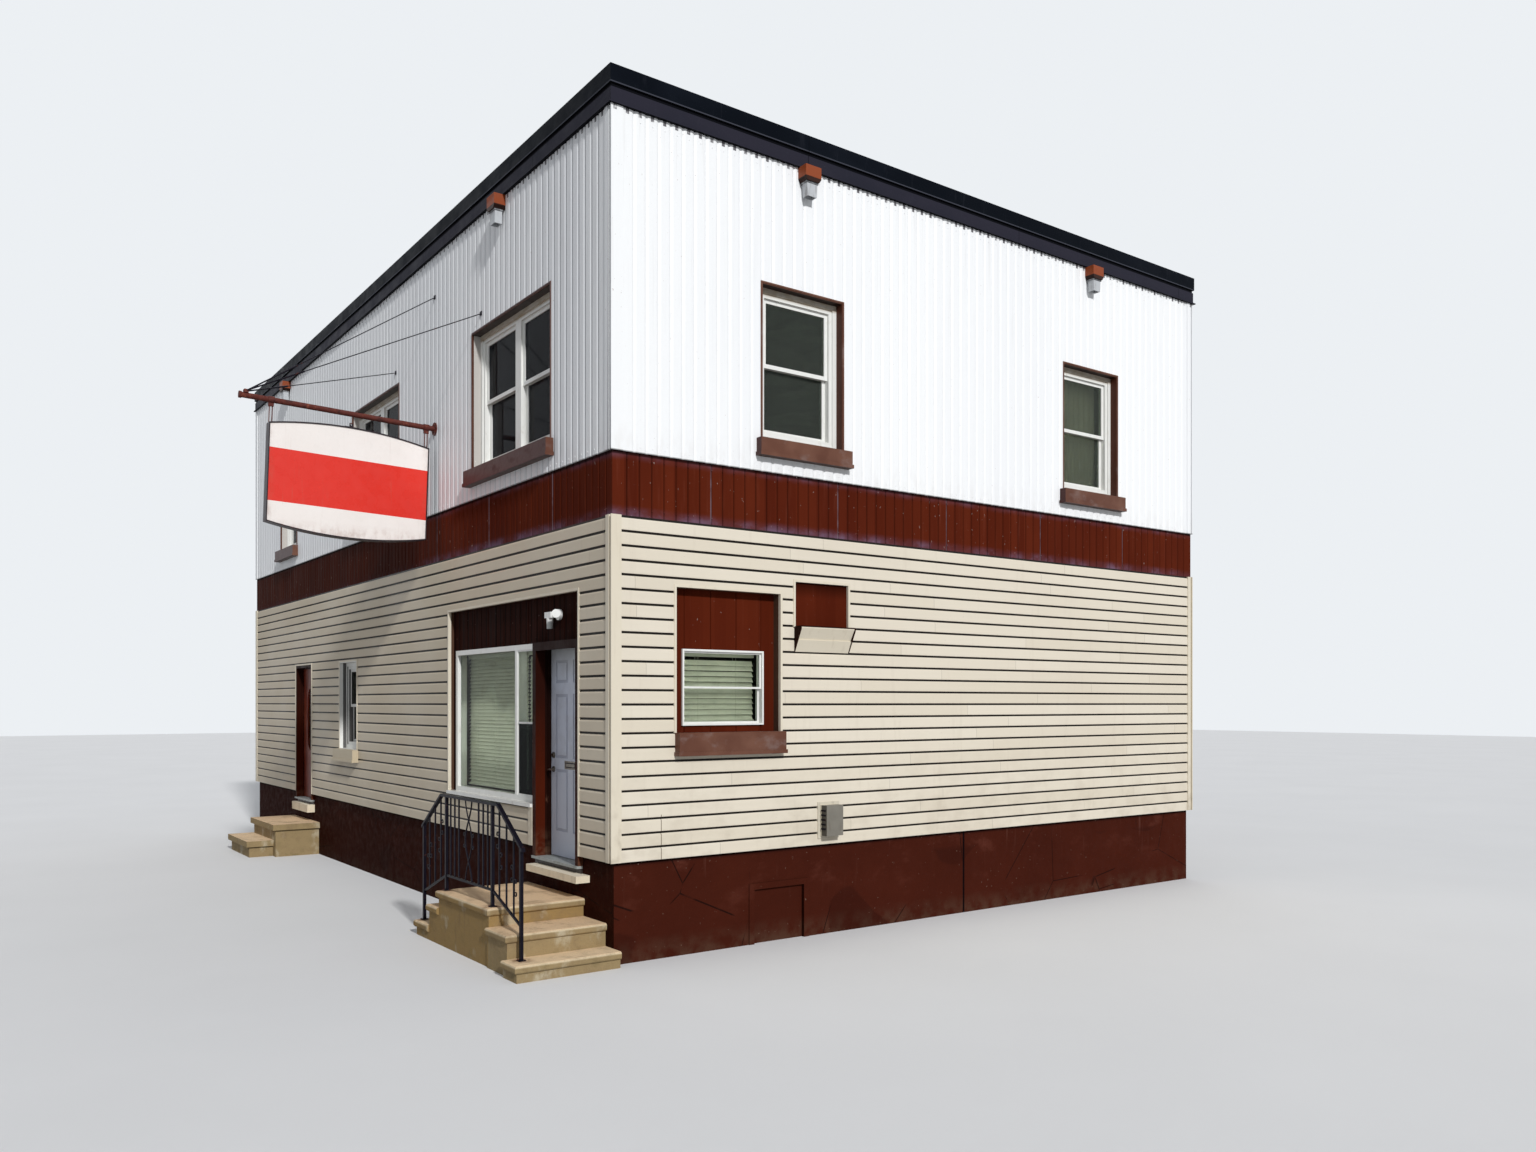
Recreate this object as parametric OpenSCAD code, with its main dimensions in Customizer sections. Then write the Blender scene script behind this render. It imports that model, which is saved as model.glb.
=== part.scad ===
// Two-storey corner shop with lap siding below, ribbed metal cladding above,
// a flat roof behind a dark fascia, a recessed shop front and a hanging sign.
// Built with the near corner of the siding, at ground level, as its own zero:
// the shop front runs to the left along X, the side street along Y.

/* [Building] */
// length of the shop front
front_length = 13200; // [9000:10:18000]
// depth along the side street
side_depth = 8580; // [6000:10:14000]
// height of the painted foundation over the ground
foundation_h = 900; // [500:10:1300]
// thickness of the outer wall without its cladding
wall_t = 220; // [120:5:400]
// thickness of siding and cladding with their battens
skin_t = 30; // [20:1:60]
// how far the foundation face stands back from the siding
foundation_back = 50; // [30:5:120]
// width of the inner ledge that carries the ground floor
ledge_w = 150; // [80:5:300]

/* [Floors and roof] */
// top of the ground floor
ground_floor_z = 806; // [500:2:1200]
// thickness of the ground floor deck
ground_floor_t = 200; // [100:10:350]
// how far the upper floor lies over the top of the siding
upper_floor_rise = 152; // [50:2:300]
// thickness of the upper floor deck
upper_floor_t = 300; // [150:10:450]
// thickness of the roof deck
roof_t = 260; // [120:10:450]
// thickness of the parapet wall round the roof
parapet_t = 160; // [80:5:300]

/* [Siding and cladding] */
// height of one lap of the siding
lap_exposure = 127; // [90:1:250]
// number of laps
lap_rows = 24; // [12:1:34]
// depth of the dark step at the top of each lap
lap_step = 13; // [6:1:20]
// height of the flat face of a lap, in hundredths of the lap
lap_flat = 72; // [50:1:85]
// height of the bevel over it, in hundredths of the lap
lap_bevel = 16; // [5:1:24]
// height of the brown band between the storeys
band_h = 562; // [200:2:900]
// height of the white cladding over the band
cladding_h = 3010; // [2200:10:3600]
// how far the brown band stands back under the white cladding
band_back = 12; // [0:1:16]
// thickness of the ribbed panel round the small side window
panel_t = 70; // [30:5:110]
// pitch of the grooves in band and cladding
groove_pitch = 127; // [60:1:300]
// width of a groove in the white cladding
groove_w = 46; // [10:1:56]
// width of a groove in the brown band and panels
band_groove_w = 26; // [6:1:50]
// depth of a groove
groove_d = 11; // [4:1:16]
// width of the corner posts of the siding
post_w = 95; // [70:1:180]
// width of the corner trims of the cladding
trim_post_w = 112; // [70:2:180]
// width of the sunk line down a corner post
quirk_w = 30; // [8:1:40]
// depth of the sunk line
quirk_d = 20; // [4:1:24]
// how far the corner posts stand proud
post_proud = 8; // [3:1:20]

/* [Fascia] */
// height of the lower fascia strip
fascia_h = 180; // [80:5:300]
// how far the lower strip stands proud
fascia_proud = 12; // [5:1:80]
// height of the sunk line between the strip and the cap
fascia_gap = 34; // [10:1:60]
// how far that line stands proud of the siding
gap_proud = 2; // [0:1:5]
// how far the drip edge under the strip stands proud
drip_proud = 34; // [12:1:90]
// height of the drip edge
drip_h = 12; // [6:1:30]
// height of the cap above it
cap_h = 160; // [80:5:300]
// how far the cap stands proud
cap_proud = 22; // [15:1:160]
// thickness of the cap over the parapet
cap_t = 60; // [20:2:120]

/* [Scuppers] */
// width of a scupper box
scupper_w = 190; // [120:5:400]
// height of a scupper box, from the roof deck up to the fascia
scupper_h = 115; // [110:5:250]
// how far it stands out
scupper_proud = 125; // [60:5:250]
// height of the tapered bottom of a scupper box
hopper_h = 36; // [20:2:90]
// sheet thickness of boxes and spouts
sheet_t = 6; // [2:1:12]
// width of the spout stub below a box
spout_w = 130; // [60:5:220]
// depth of the spout stub
spout_d = 80; // [40:5:120]
// length of the spout stub
spout_l = 140; // [60:5:400]
// how much narrower the stub is at its end, on each side
spout_taper = 9; // [0:1:20]
// first scupper, from the near corner, on the shop front
front_scupper_1 = 2350; // [600:10:4000]
// second scupper on the shop front
front_scupper_2 = 10900; // [8000:10:12400]
// first scupper on the side
side_scupper_1 = 2150; // [600:10:3600]
// second scupper on the side
side_scupper_2 = 6500; // [4500:10:8000]

/* [Windows] */
// height of the upper windows over the brown band
upper_sill_rise = 310; // [180:5:500]
// height of the upper windows
upper_window_h = 1490; // [900:10:1900]
// width of a double upper window
pair_w = 1930; // [1300:10:2300]
// width of a single upper window
single_w = 1000; // [600:10:1400]
// middle of the first front window, from the near corner
front_window_1 = 2175; // [1500:5:3000]
// middle of the second front window
front_window_2 = 6500; // [5500:5:7500]
// middle of the third front window
front_window_3 = 10925; // [9500:5:11800]
// middle of the first side window, from the near corner
side_window_1 = 2120; // [1200:5:3200]
// middle of the second side window
side_window_2 = 6515; // [5000:5:7500]
// depth of the window faces behind the siding
reveal = 90; // [40:2:120]
// depth of a window frame
frame_d = 110; // [90:2:130]
// face width of the outer board of a window frame
board_w = 58; // [30:1:90]
// how far the inner frame stands back behind that board
board_step = 14; // [4:1:18]
// face width of the inner window frame
frame_w = 42; // [25:1:80]
// face width of a sash
sash_w = 40; // [20:1:70]
// thickness of a sash
sash_t = 30; // [18:1:32]
// thickness of the lining of the reveals
liner_t = 8; // [4:1:14]
// width of the brown edge strip round the upper windows
edge_w = 16; // [8:1:30]
// how far edge strips and trims stand proud
trim_proud = 6; // [3:1:12]
// thickness of the glass
glass_t = 6; // [3:1:12]
// width of the post between two windows of a pair
mullion_w = 50; // [30:2:140]
// height of a sill box
sill_h = 170; // [60:5:260]
// how far a sill stands out
sill_proud = 80; // [30:5:170]
// how far the lower lip of a sill stands proud of it
sill_lip = 10; // [4:1:20]
// height of the lower lip
lip_h = 36; // [15:1:60]
// how far a sill runs past its opening on each side
sill_over = 65; // [20:5:250]
// small front window, its middle from the near corner
small_window_s = 7680; // [6500:10:8600]
// width of the small front window
small_window_w = 800; // [400:10:1200]
// underside of the small front window
small_window_z = 1650; // [1300:10:2000]
// height of the small front window
small_window_h = 1230; // [600:10:1500]

/* [Shop front] */
// from the near corner to the recess
pier_w = 636; // [400:2:900]
// height of the ribbed panel over the shop window and the door
shop_panel_h = 440; // [200:10:600]
// depth of the recessed panel and window
shop_recess = 62; // [30:2:100]
// underside of the shop window
shop_window_z = 1310; // [1100:10:1700]
// width of the shop window
shop_window_w = 2170; // [1500:10:2800]
// width of the narrow opening part of the shop window
shop_vent_w = 551; // [300:1:700]
// width of the post beside that part
vent_post_w = 48; // [30:1:80]
// face width of the thin sashes in it
vent_sash_w = 16; // [10:1:40]
// brown reveal strip left of the shop window
shop_trim_w = 60; // [20:2:140]
// thickness of the white sill board
shop_sill_t = 34; // [15:1:60]
// face width of the narrow trims round the openings in the siding
trim_w = 24; // [14:1:40]
// width of the upright board between the siding and the door post
upright_w = 90; // [40:2:140]
// pitch of the grooves in the shop panel
shop_pitch = 200; // [100:5:300]

/* [Doors] */
// width of the shop door
door_w = 830; // [700:5:1000]
// height of both doors
door_h = 2034; // [1800:2:2200]
// thickness of both doors
door_t = 45; // [35:1:60]
// clearance of the doors in their frames
door_gap = 6; // [5:0.5:10]
// depth of the shop door behind the siding
door_back = 165; // [120:5:170]
// door post next to the shop window
door_post_w = 73; // [40:1:140]
// door jamb at the pier
door_jamb_w = 59; // [25:1:100]
// thickness of the head over the doors
door_head_t = 38; // [25:1:80]
// height of the board over the shop door
head_board_h = 80; // [50:2:110]
// height of the lever over the underside of the door
lever_z = 841; // [780:1:920]
// width of the stops that the doors close on
stop_w = 14; // [8:1:30]
// thickness of the stops
stop_t = 30; // [15:1:50]
// height of the sill under a door, down to the stone slab
door_sill_t = 71; // [40:1:100]
// thickness of the plate on top of that sill
sill_plate_t = 24; // [10:1:36]
// how far the sill under its plate stands back from the siding
sill_body_back = 30; // [10:1:50]
// middle of the side door, from the near corner
side_door_s = 10020; // [9500:10:10800]
// height of a door hinge
hinge_h = 105; // [75:3:150]
// radius of the hinge knuckles
knuckle_r = 8; // [6.5:0.5:8.5]
// radius of the hinge pins
pin_r = 5; // [3:0.5:5.5]
// play of the hinge pins
pin_play = 0.1; // [0.05:0.05:0.2]
// width of the side door
side_door_w = 820; // [700:5:1000]
// jambs of the side door
side_jamb_w = 36; // [25:1:90]
// width of the oval light in the side door
oval_w = 360; // [200:10:500]
// height of the straight part of the oval light
oval_h = 620; // [300:10:900]

/* [Side street wall] */
// left edge of the recess with the small window, from the near corner
niche_t0 = 662; // [450:2:1200]
// width of the recess
niche_w = 1175; // [1050:5:1250]
// underside of the recess
niche_z = 2030; // [1800:10:2300]
// height of the recess
niche_h = 1320; // [1000:10:1500]
// width of the window in the recess
niche_window_w = 920; // [600:10:1000]
// depth of the boarded panel in the recess
niche_back = 110; // [45:1:120]
// width of a board of that panel
niche_pitch = 290; // [200:5:400]
// boarded strip left of the window in the recess
niche_strip = 120; // [20:5:160]
// face width of the thin frame of that window
niche_frame_w = 18; // [12:1:60]
// face width of its thin sashes
niche_sash_w = 18; // [12:1:60]
// boarded strip below the window in the recess
niche_rise = 62; // [20:2:150]
// height of the window in the recess
niche_window_h = 705; // [500:5:900]
// height of the sill under the recess
niche_sill_h = 210; // [100:5:260]
// how far that sill runs past the recess on each side
niche_sill_over = 14; // [0:1:60]
// thickness of the sunk board that closes the vent
vent_panel_t = 7; // [5:1:15]
// closed vent, left edge
vent_t0 = 2020; // [1950:10:2400]
// width of the closed vent
vent_w = 670; // [300:10:900]
// underside of the closed vent
vent_z = 3040; // [2700:10:3300]
// height of the closed vent
vent_h = 440; // [200:10:560]
// height of the sloping skirt under the vent
skirt_h = 240; // [100:10:400]
// how far the skirt stands out at its top
skirt_proud = 100; // [40:5:160]
// meter box, its middle from the near corner
meter_s = 2430; // [2000:10:3000]
// width of the meter box
meter_w = 210; // [120:5:320]
// height of the meter box
meter_h = 300; // [180:5:420]
// underside of the meter box
meter_z = 990; // [950:5:1300]
// hatch to the crawl space, left edge
hatch_t0 = 1500; // [1200:10:2600]
// width of the hatch
hatch_w = 720; // [400:10:1000]
// height of the hatch
hatch_h = 580; // [300:10:700]

/* [Entrance] */
// middle of the steps, from the near corner
stair_s = 1222; // [1100:2:1500]
// width of the landing along the front
landing_w = 1250; // [1160:10:1600]
// depth of the steps away from the front
landing_d = 890; // [700:10:1400]
// height of the bottom tread
base_rise = 146; // [120:2:180]
// rise of the tread over it
low_rise = 204; // [140:2:210]
// rise of the landing over that tread
step_rise = 164; // [140:2:182]
// run of the upper tread on the right
step_run = 422; // [300:2:440]
// run of the bottom tread on the right
base_run = 270; // [240:5:380]
// how far the upper tread on the right stands out in front of the landing
step_out = 15; // [0:1:60]
// how far the bottom tread on the right stands out in front of it
base_out = 50; // [0:5:100]
// run of the upper tread on the left
left_run = 260; // [240:5:300]
// run of the bottom tread on the left
left_base_run = 345; // [320:5:400]
// how far a tread stands over its riser
nosing = 26; // [10:1:40]
// thickness of a tread slab
tread_t = 68; // [40:1:90]
// rounding of the tread edges
tread_r = 22; // [8:1:30]
// width of the landing at the side door
side_landing_w = 1460; // [1200:10:2400]
// depth of the landing at the side door
side_landing_d = 620; // [500:10:1100]
// height of the landing at the side door
side_landing_h = 484; // [400:2:600]
// thickness of the slabs on it and on its step
side_slab_t = 85; // [50:5:110]
// run of the step below it
side_run = 330; // [240:10:450]
// stone slab under the shop door, thickness
slab_t = 65; // [40:1:100]
// how far the slab stands out from the siding
slab_proud = 90; // [60:5:350]
// right end of the slab, from the near corner
slab_s = 500; // [400:10:620]
// length of the slab
slab_w = 1060; // [900:10:1200]
// height of the rail over the landing
rail_h = 916; // [800:2:1100]
// height of the rail at the end posts, over the bottom tread
end_rail_h = 964; // [800:2:1050]
// distance of the railing from the front edge of the landing
rail_in = 90; // [60:2:200]
// how far the middle of the railing lies left of the middle of the landing
rail_shift = 18; // [0:1:30]
// how far the end posts stand past the edge of the upper tread on the right
end_in = 101; // [80:1:140]
// side of the railing posts
rail_post = 28; // [20:1:40]
// side of the balusters
baluster = 13; // [8:1:20]
// first baluster, from the middle of the railing
baluster_in = 235; // [200:1:240]
// pitch of the balusters
baluster_pitch = 104; // [90:1:106]
// length of level rail past the landing posts
level_past = 124; // [60:2:180]
// height of the lower rail over the landing
low_rail = 155; // [100:5:250]
// height of the lower rail at the end posts, over the bottom tread
end_low_h = 295; // [200:1:380]
// thickness of the top rail
rail_cap = 26; // [20:1:50]
// thickness of the lower rail
low_t = 20; // [14:1:35]
// width of the flat bars of the ornaments
scroll_w = 8; // [5:1:12]
// depth of the flat bars of the ornaments
scroll_d = 12; // [8:1:16]
// half the spread of the two curved bars in the middle
lyre_w = 75; // [35:1:90]
// radius of the curls
curl_r = 27; // [15:1:32]
// half the length of the straight back of a curled bar
curl_back = 50; // [30:1:60]

/* [Sign] */
// middle of the sign, from the near corner
sign_s = 4275; // [4150:5:5200]
// gap between the wall and the sign
sign_gap = 80; // [40:5:200]
// width of the sign, away from the wall
sign_w = 1750; // [1200:10:2000]
// height of the sign at its corners
sign_h = 1063; // [700:1:1200]
// rise of the curved top and bottom edges
sign_arch = 90; // [20:5:150]
// thickness of the sign cabinet
sign_t = 130; // [100:5:300]
// width of the frame seen round the faces
sign_rim = 12; // [8:1:60]
// thickness of the sign faces
sign_face_t = 8; // [4:1:15]
// height of the pipe over the brown band, at the wall
pipe_height = 990; // [800:10:1200]
// length of the pipe
pipe_l = 2130; // [2000:10:2500]
// radius of the pipe
pipe_r = 30; // [18:1:45]
// rise of pipe and sign away from the wall
pipe_rise = 2; // [0:0.5:5]
// distance from the pipe down to the top corners of the sign
hanger_l = 250; // [180:5:320]
// side of one rod of the hangers between pipe and sign
hanger_side = 11; // [7:1:20]
// distance between the two rods of a hanger
hanger_gap = 30; // [24:1:50]
// distance of the hangers from the edges of the sign
hanger_in = 24; // [22:1:200]
// how far the side guy rods spread along the wall
guy_spread = 1380; // [600:10:2000]
// rise of the side guy rods over the pipe
guy_side_rise = 975; // [400:5:1400]
// rise of the middle guy rod over the pipe
guy_mid_rise = 1540; // [800:10:1700]
// radius of the guy rods
guy_r = 5; // [3:0.5:8]
// radius of the turnbuckles
turnbuckle_r = 10; // [7:1:16]

/* [Hidden] */
siding_top = foundation_h + lap_rows * lap_exposure;
band_top = siding_top + band_h;
cladding_top = band_top + cladding_h;
fascia_top = cladding_top + fascia_h;
total_h = fascia_top + cap_h;
upper_floor_z = siding_top + upper_floor_rise;
upper_window_z = band_top + upper_sill_rise;
roof_z = cladding_top - scupper_h;
pipe_z = band_top + pipe_height;
parapet_top = total_h - cap_t;
lower_wall_top = upper_floor_z - upper_floor_t;
upper_wall_top = roof_z - roof_t;
inner = skin_t + wall_t;
ledge_z = ground_floor_z - ground_floor_t;
recess_w = door_jamb_w + door_post_w + door_w + 2 * door_gap + shop_window_w + shop_trim_w;
recess_end = pier_w + recess_w;
bay_end = pier_w + door_jamb_w + door_gap + door_w + door_gap + door_post_w;
leaf_z = ground_floor_z + door_gap;
door_slab_z = ground_floor_z - door_sill_t;
leaf_top = leaf_z + door_h;
shop_head_z = leaf_top + door_gap + door_head_t;
shop_panel_top_z = shop_head_z + shop_panel_h;
side_bay_w = side_door_w + 2 * door_gap + 2 * side_jamb_w;
side_bay_0 = side_door_s - side_bay_w / 2;
side_head_z = leaf_top + door_gap + door_head_t;
landing_z = base_rise + low_rise + step_rise;
pipe_cap_r = pipe_r + 7;
edge_proud = max(cap_proud, sill_proud + sill_lip);
x_max = max(landing_w / 2 + step_run + base_run - stair_s, scupper_proud, edge_proud);
x_min = -front_length - edge_proud;
y_min = -(pipe_l * cos(pipe_rise) + pipe_cap_r * sin(pipe_rise));
y_max = side_depth + edge_proud;
eps = 1;
$fn = 48;

white = [0.93, 0.93, 0.92];
beige = [0.84, 0.80, 0.72];
brown = [0.36, 0.18, 0.13];
dark = [0.13, 0.14, 0.16];
iron = [0.06, 0.06, 0.07];
stone = [0.68, 0.62, 0.52];

// Middle of the outline on the ground becomes the zero of the whole building.
module place() {
    translate([-(x_min + x_max) / 2, -(y_min + y_max) / 2, 0]) children();
}

// Each face is drawn from its left end as seen from outside, y going inwards.
module on_front() { translate([-front_length, 0, 0]) children(); }
module on_right() { rotate([0, 0, 90]) children(); }
module on_back() { translate([0, side_depth, 0]) rotate([0, 0, 180]) children(); }
module on_left() { translate([-front_length, side_depth, 0]) rotate([0, 0, -90]) children(); }
module on_face(i) {
    if (i == 0) on_front() children();
    if (i == 1) on_right() children();
    if (i == 2) on_back() children();
    if (i == 3) on_left() children();
}
function face_length(i) = (i % 2 == 0) ? front_length : side_depth;

// Windows of a face: [middle from its left end, width, number of sashes side by side]
function upper_windows(i) =
    i == 0 ? [[front_length - front_window_3, single_w, 1],
              [front_length - front_window_2, pair_w, 2],
              [front_length - front_window_1, pair_w, 2]]
  : i == 1 ? [[side_window_1, single_w, 1], [side_window_2, single_w, 1]]
  : i == 2 ? [[front_window_1, single_w, 1], [front_window_2, pair_w, 2], [front_window_3, single_w, 1]]
  : [[side_depth - side_window_2, single_w, 1], [side_depth - side_window_1, single_w, 1]];
function lower_windows(i) =
    i == 0 ? [[front_length - small_window_s, small_window_w, 1]]
  : i == 2 ? [[front_window_1, small_window_w, 1], [front_window_2, small_window_w, 1]]
  : i == 3 ? [[side_depth - side_window_1, small_window_w, 1]]
  : [];

// A band round the whole building, proud of the siding by p, its inner face set in by q.
module ring(p, q, z, h) {
    translate([-front_length - p, -p, z]) difference() {
        cube([front_length + 2 * p, side_depth + 2 * p, h]);
        translate([p + q, p + q, -eps])
            cube([front_length - 2 * q, side_depth - 2 * q, h + 2 * eps]);
    }
}

// A box on a face, from x0 to x1 along it, y0 to y1 inwards, z0 to z1 up.
module slab(x0, x1, y0, y1, z0, z1) {
    translate([x0, y0, z0]) cube([x1 - x0, y1 - y0, z1 - z0]);
}

// Openings of the windows in a list, cut through everything.
module window_holes(list, z, h) {
    for (w = list) slab(w[0] - w[1] / 2, w[0] + w[1] / 2, -200, inner + 200, z, z + h);
}

// A flat sheet with vertical grooves, standing on the face.
module grooved(x0, x1, y0, t, z0, z1, pitch = groove_pitch, w = band_groove_w) {
    n = floor((x1 - x0 - w) / pitch);
    start = (x1 - x0 - (n - 1) * pitch) / 2;
    pts = concat([[0, 0]],
        [for (i = [0:n - 1], k = [-1:1])
            [start + i * pitch + k * w / 2, k == 0 ? groove_d : 0]],
        [[x1 - x0, 0], [x1 - x0, t], [0, t]]);
    translate([x0, y0, z0]) linear_extrude(z1 - z0) polygon(pts);
}

// Lap siding: each row is flat, then bevelled back, and the next one steps out again.
lap_shape = [[0, 0], [0, lap_flat / 100], [lap_step, (lap_flat + lap_bevel) / 100], [lap_step, 1]];
module lapped(x0, x1) {
    pts = concat([[skin_t, 0]],
        [for (i = [0:lap_rows - 1], q = lap_shape) [q[0], (i + q[1]) * lap_exposure]],
        [[skin_t, lap_rows * lap_exposure]]);
    translate([x0, 0, foundation_h]) rotate([90, 0, 90]) linear_extrude(x1 - x0) polygon(pts);
}

// An L post at a corner of the building, its corner at the zero of the face,
// with a sunk line down one side close to the edge.
module corner_post(w, z0, z1) {
    translate([-post_proud, -post_proud, z0]) difference() {
        cube([w + post_proud, w + post_proud, z1 - z0]);
        translate([post_proud + skin_t, post_proud + skin_t, -eps])
            cube([w + 2 * eps, w + 2 * eps, z1 - z0 + 2 * eps]);
        translate([-eps, 14, -eps]) cube([quirk_d + eps, quirk_w, z1 - z0 + 2 * eps]);
    }
}
module corner_posts(w, z0, z1) {
    for (i = [0:3]) on_face(i) corner_post(w, z0, z1);
}

// A flat ring standing in the XZ plane.
module frame_ring(w, d, h, t) {
    difference() {
        cube([w, d, h]);
        translate([t, -eps, t]) cube([w - 2 * t, d + 2 * eps, h - 2 * t]);
    }
}

// A hung window: outer frame, upper sash in front, lower sash behind it.
unit_d = frame_d - board_step;
module hung_frame(w, h, fw, sw) {
    si = fw - 2;
    frame_ring(w, unit_d, h, fw);
    translate([si, unit_d - 2 * sash_t - 12, (h - sw) / 2])
        frame_ring(w - 2 * si, sash_t, (h + sw) / 2 - si, sw);
    translate([si, unit_d - sash_t - 6, si])
        frame_ring(w - 2 * si, sash_t, (h + sw) / 2 - si, sw);
}
module hung_glass(w, h, fw, sw) {
    x = fw - 2 + sw;
    gw = w - 2 * x;
    gh = (h - sw) / 2 - x;
    translate([x, unit_d - 1.5 * sash_t - 12 - glass_t / 2, (h + sw) / 2]) cube([gw, glass_t, gh]);
    translate([x, unit_d - sash_t / 2 - 6 - glass_t / 2, x]) cube([gw, glass_t, gh]);
}
module window_unit(w, z, h, y0, glass = false, fw = frame_w, sw = sash_w) {
    one = (w[1] - (w[2] - 1) * mullion_w) / w[2];
    for (k = [0:w[2] - 1])
        translate([w[0] - w[1] / 2 + k * (one + mullion_w), y0, z])
            if (glass) hung_glass(one, h, fw, sw); else hung_frame(one, h, fw, sw);
    if (!glass && w[2] == 2)
        slab(w[0] - mullion_w / 2 - 1, w[0] + mullion_w / 2 + 1, y0, y0 + unit_d, z, z + h);
}
// The lining of a reveal, in front of a window.
module lining(w, z, h, d) translate([w[0] - w[1] / 2, 0, z]) frame_ring(w[1], d, h, liner_t);
// A window in its outer board.
board_in = board_w - 2;
module boarded_unit(w, z, h, y0, glass = false) {
    inside = [w[0], w[1] - 2 * board_in, w[2]];
    window_unit(inside, z + board_in, h - 2 * board_in, y0 + board_step, glass);
    if (!glass) translate([w[0] - w[1] / 2, y0, z]) frame_ring(w[1], frame_d, h, board_w);
}
// A box sill with a tongue that runs into the opening under the frame.
tongue_t = 40;
module sill(w, z, h = sill_h, over = sill_over) {
    x = w[1] / 2 + over;
    slab(w[0] - x, w[0] + x, -sill_proud, 0, z - h, z);
    slab(w[0] - x - sill_lip, w[0] + x + sill_lip, -sill_proud - sill_lip, 0, z - h, z - h + lip_h);
    slab(w[0] - w[1] / 2, w[0] + w[1] / 2, -eps, reveal + frame_d, z - tongue_t, z);
}

// Foundation
module foundation_section(x0, x1) {
    slab(x0, x1, foundation_back, inner, 0, foundation_h);
    slab(x0, x1, inner - eps, inner + ledge_w, 0, ledge_z);
}
// Notch for the stone slab, a to b, with the door bay over it, c to d.
module door_notch(a, b, c, d) rotate([90, 0, 0]) translate([0, 0, -inner - eps])
    linear_extrude(inner + 2 * eps) polygon([
        [a, door_slab_z - slab_t], [b, door_slab_z - slab_t], [b, door_slab_z], [d, door_slab_z],
        [d, foundation_h + eps], [c, foundation_h + eps], [c, door_slab_z], [a, door_slab_z]]);
module front_foundation() color(brown) place() on_front() difference() {
    foundation_section(foundation_back, front_length - foundation_back);
    door_notch(front_length - slab_s - slab_w, front_length - slab_s,
        front_length - bay_end, front_length - pier_w);
    slab(front_length - side_bay_0 - side_bay_w, front_length - side_bay_0, -eps, inner + eps,
        side_slab_z, foundation_h + eps);
}
module side_foundation(i) on_face(i)
    foundation_section(inner + ledge_w, face_length(i) - inner - ledge_w);
module right_foundation() color(brown) place() difference() {
    union() {
        side_foundation(1);
        foundation_ends(1);
    }
    on_right() slab(hatch_t0, hatch_t0 + hatch_w, -eps, inner + ledge_w + eps, -eps, hatch_h);
}
// The upper part of a side foundation runs on to the inner face of the front and back ones.
module foundation_ends(i) on_face(i)
    slab(inner, face_length(i) - inner, foundation_back, inner, ledge_z, foundation_h);
module back_foundation() color(brown) place() on_back()
    foundation_section(foundation_back, front_length - foundation_back);
module left_foundation() color(brown) place() {
    side_foundation(3);
    foundation_ends(3);
}
module basement_hatch() color(brown) place() on_right() {
    slab(hatch_t0, hatch_t0 + hatch_w, foundation_back + 30, foundation_back + 60, 0, hatch_h);
    translate([hatch_t0, foundation_back - 10, 0]) difference() {
        cube([hatch_w, 50, hatch_h]);
        translate([60, -eps, -eps]) cube([hatch_w - 120, 100, hatch_h - 60 + eps]);
    }
}

// Floors and roof
module deck(q, z, t) {
    translate([-front_length + q, q, z - t]) cube([front_length - 2 * q, side_depth - 2 * q, t]);
}
module ground_floor() color([0.55, 0.42, 0.3]) place() deck(inner, ground_floor_z, ground_floor_t);
module second_floor() color([0.55, 0.42, 0.3]) place() deck(skin_t, upper_floor_z, upper_floor_t);
module roof_deck() color([0.3, 0.3, 0.31]) place() deck(skin_t, roof_z, roof_t);
module roof_parapet() color([0.6, 0.55, 0.45]) place() difference() {
    ring(-skin_t, skin_t + parapet_t, roof_z, parapet_top - roof_z);
    at_scuppers() scupper_hole();
}

// Walls
module full_wall(i, x0, x1, z0, z1, list, wz, wh) on_face(i) difference() {
    slab(x0, x1, skin_t, inner, z0, z1);
    window_holes(list, wz - tongue_t, wh + tongue_t);
}
module front_corner_pier() color(beige) place() on_front()
    slab(front_length - pier_w, front_length - skin_t, skin_t, inner, foundation_h, lower_wall_top);
module shop_window_apron() color(beige) place() on_front()
    slab(front_length - recess_end, front_length - bay_end, skin_t, inner,
        foundation_h, shop_window_z - shop_sill_t);
module front_middle_wall() color(beige) place() on_front() difference() {
    slab(front_length - side_bay_0, front_length - recess_end, skin_t, inner,
        foundation_h, lower_wall_top);
    window_holes(lower_windows(0), small_window_z - tongue_t, small_window_h + tongue_t);
}
module front_left_wall() color(beige) place() on_front()
    slab(skin_t, front_length - side_bay_0 - side_bay_w, skin_t, inner,
        foundation_h, lower_wall_top);
module front_lintels() color(beige) place() on_front() {
    slab(front_length - recess_end, front_length - pier_w, skin_t, inner,
        shop_panel_top_z, lower_wall_top);
    slab(front_length - side_bay_0 - side_bay_w, front_length - side_bay_0, skin_t, inner,
        side_head_z, lower_wall_top);
}
module right_lower_wall() color(beige) place() on_right() difference() {
    slab(inner, side_depth - inner, skin_t, inner, foundation_h, lower_wall_top);
    slab(niche_t0, niche_t0 + niche_w, -eps, inner + eps, niche_z - tongue_t, niche_z + niche_h);
}
module back_lower_wall() color(beige) place()
    full_wall(2, skin_t, front_length - skin_t, foundation_h, lower_wall_top,
        lower_windows(2), small_window_z, small_window_h);
module left_lower_wall() color(beige) place()
    full_wall(3, inner, side_depth - inner, foundation_h, lower_wall_top,
        lower_windows(3), small_window_z, small_window_h);
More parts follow.
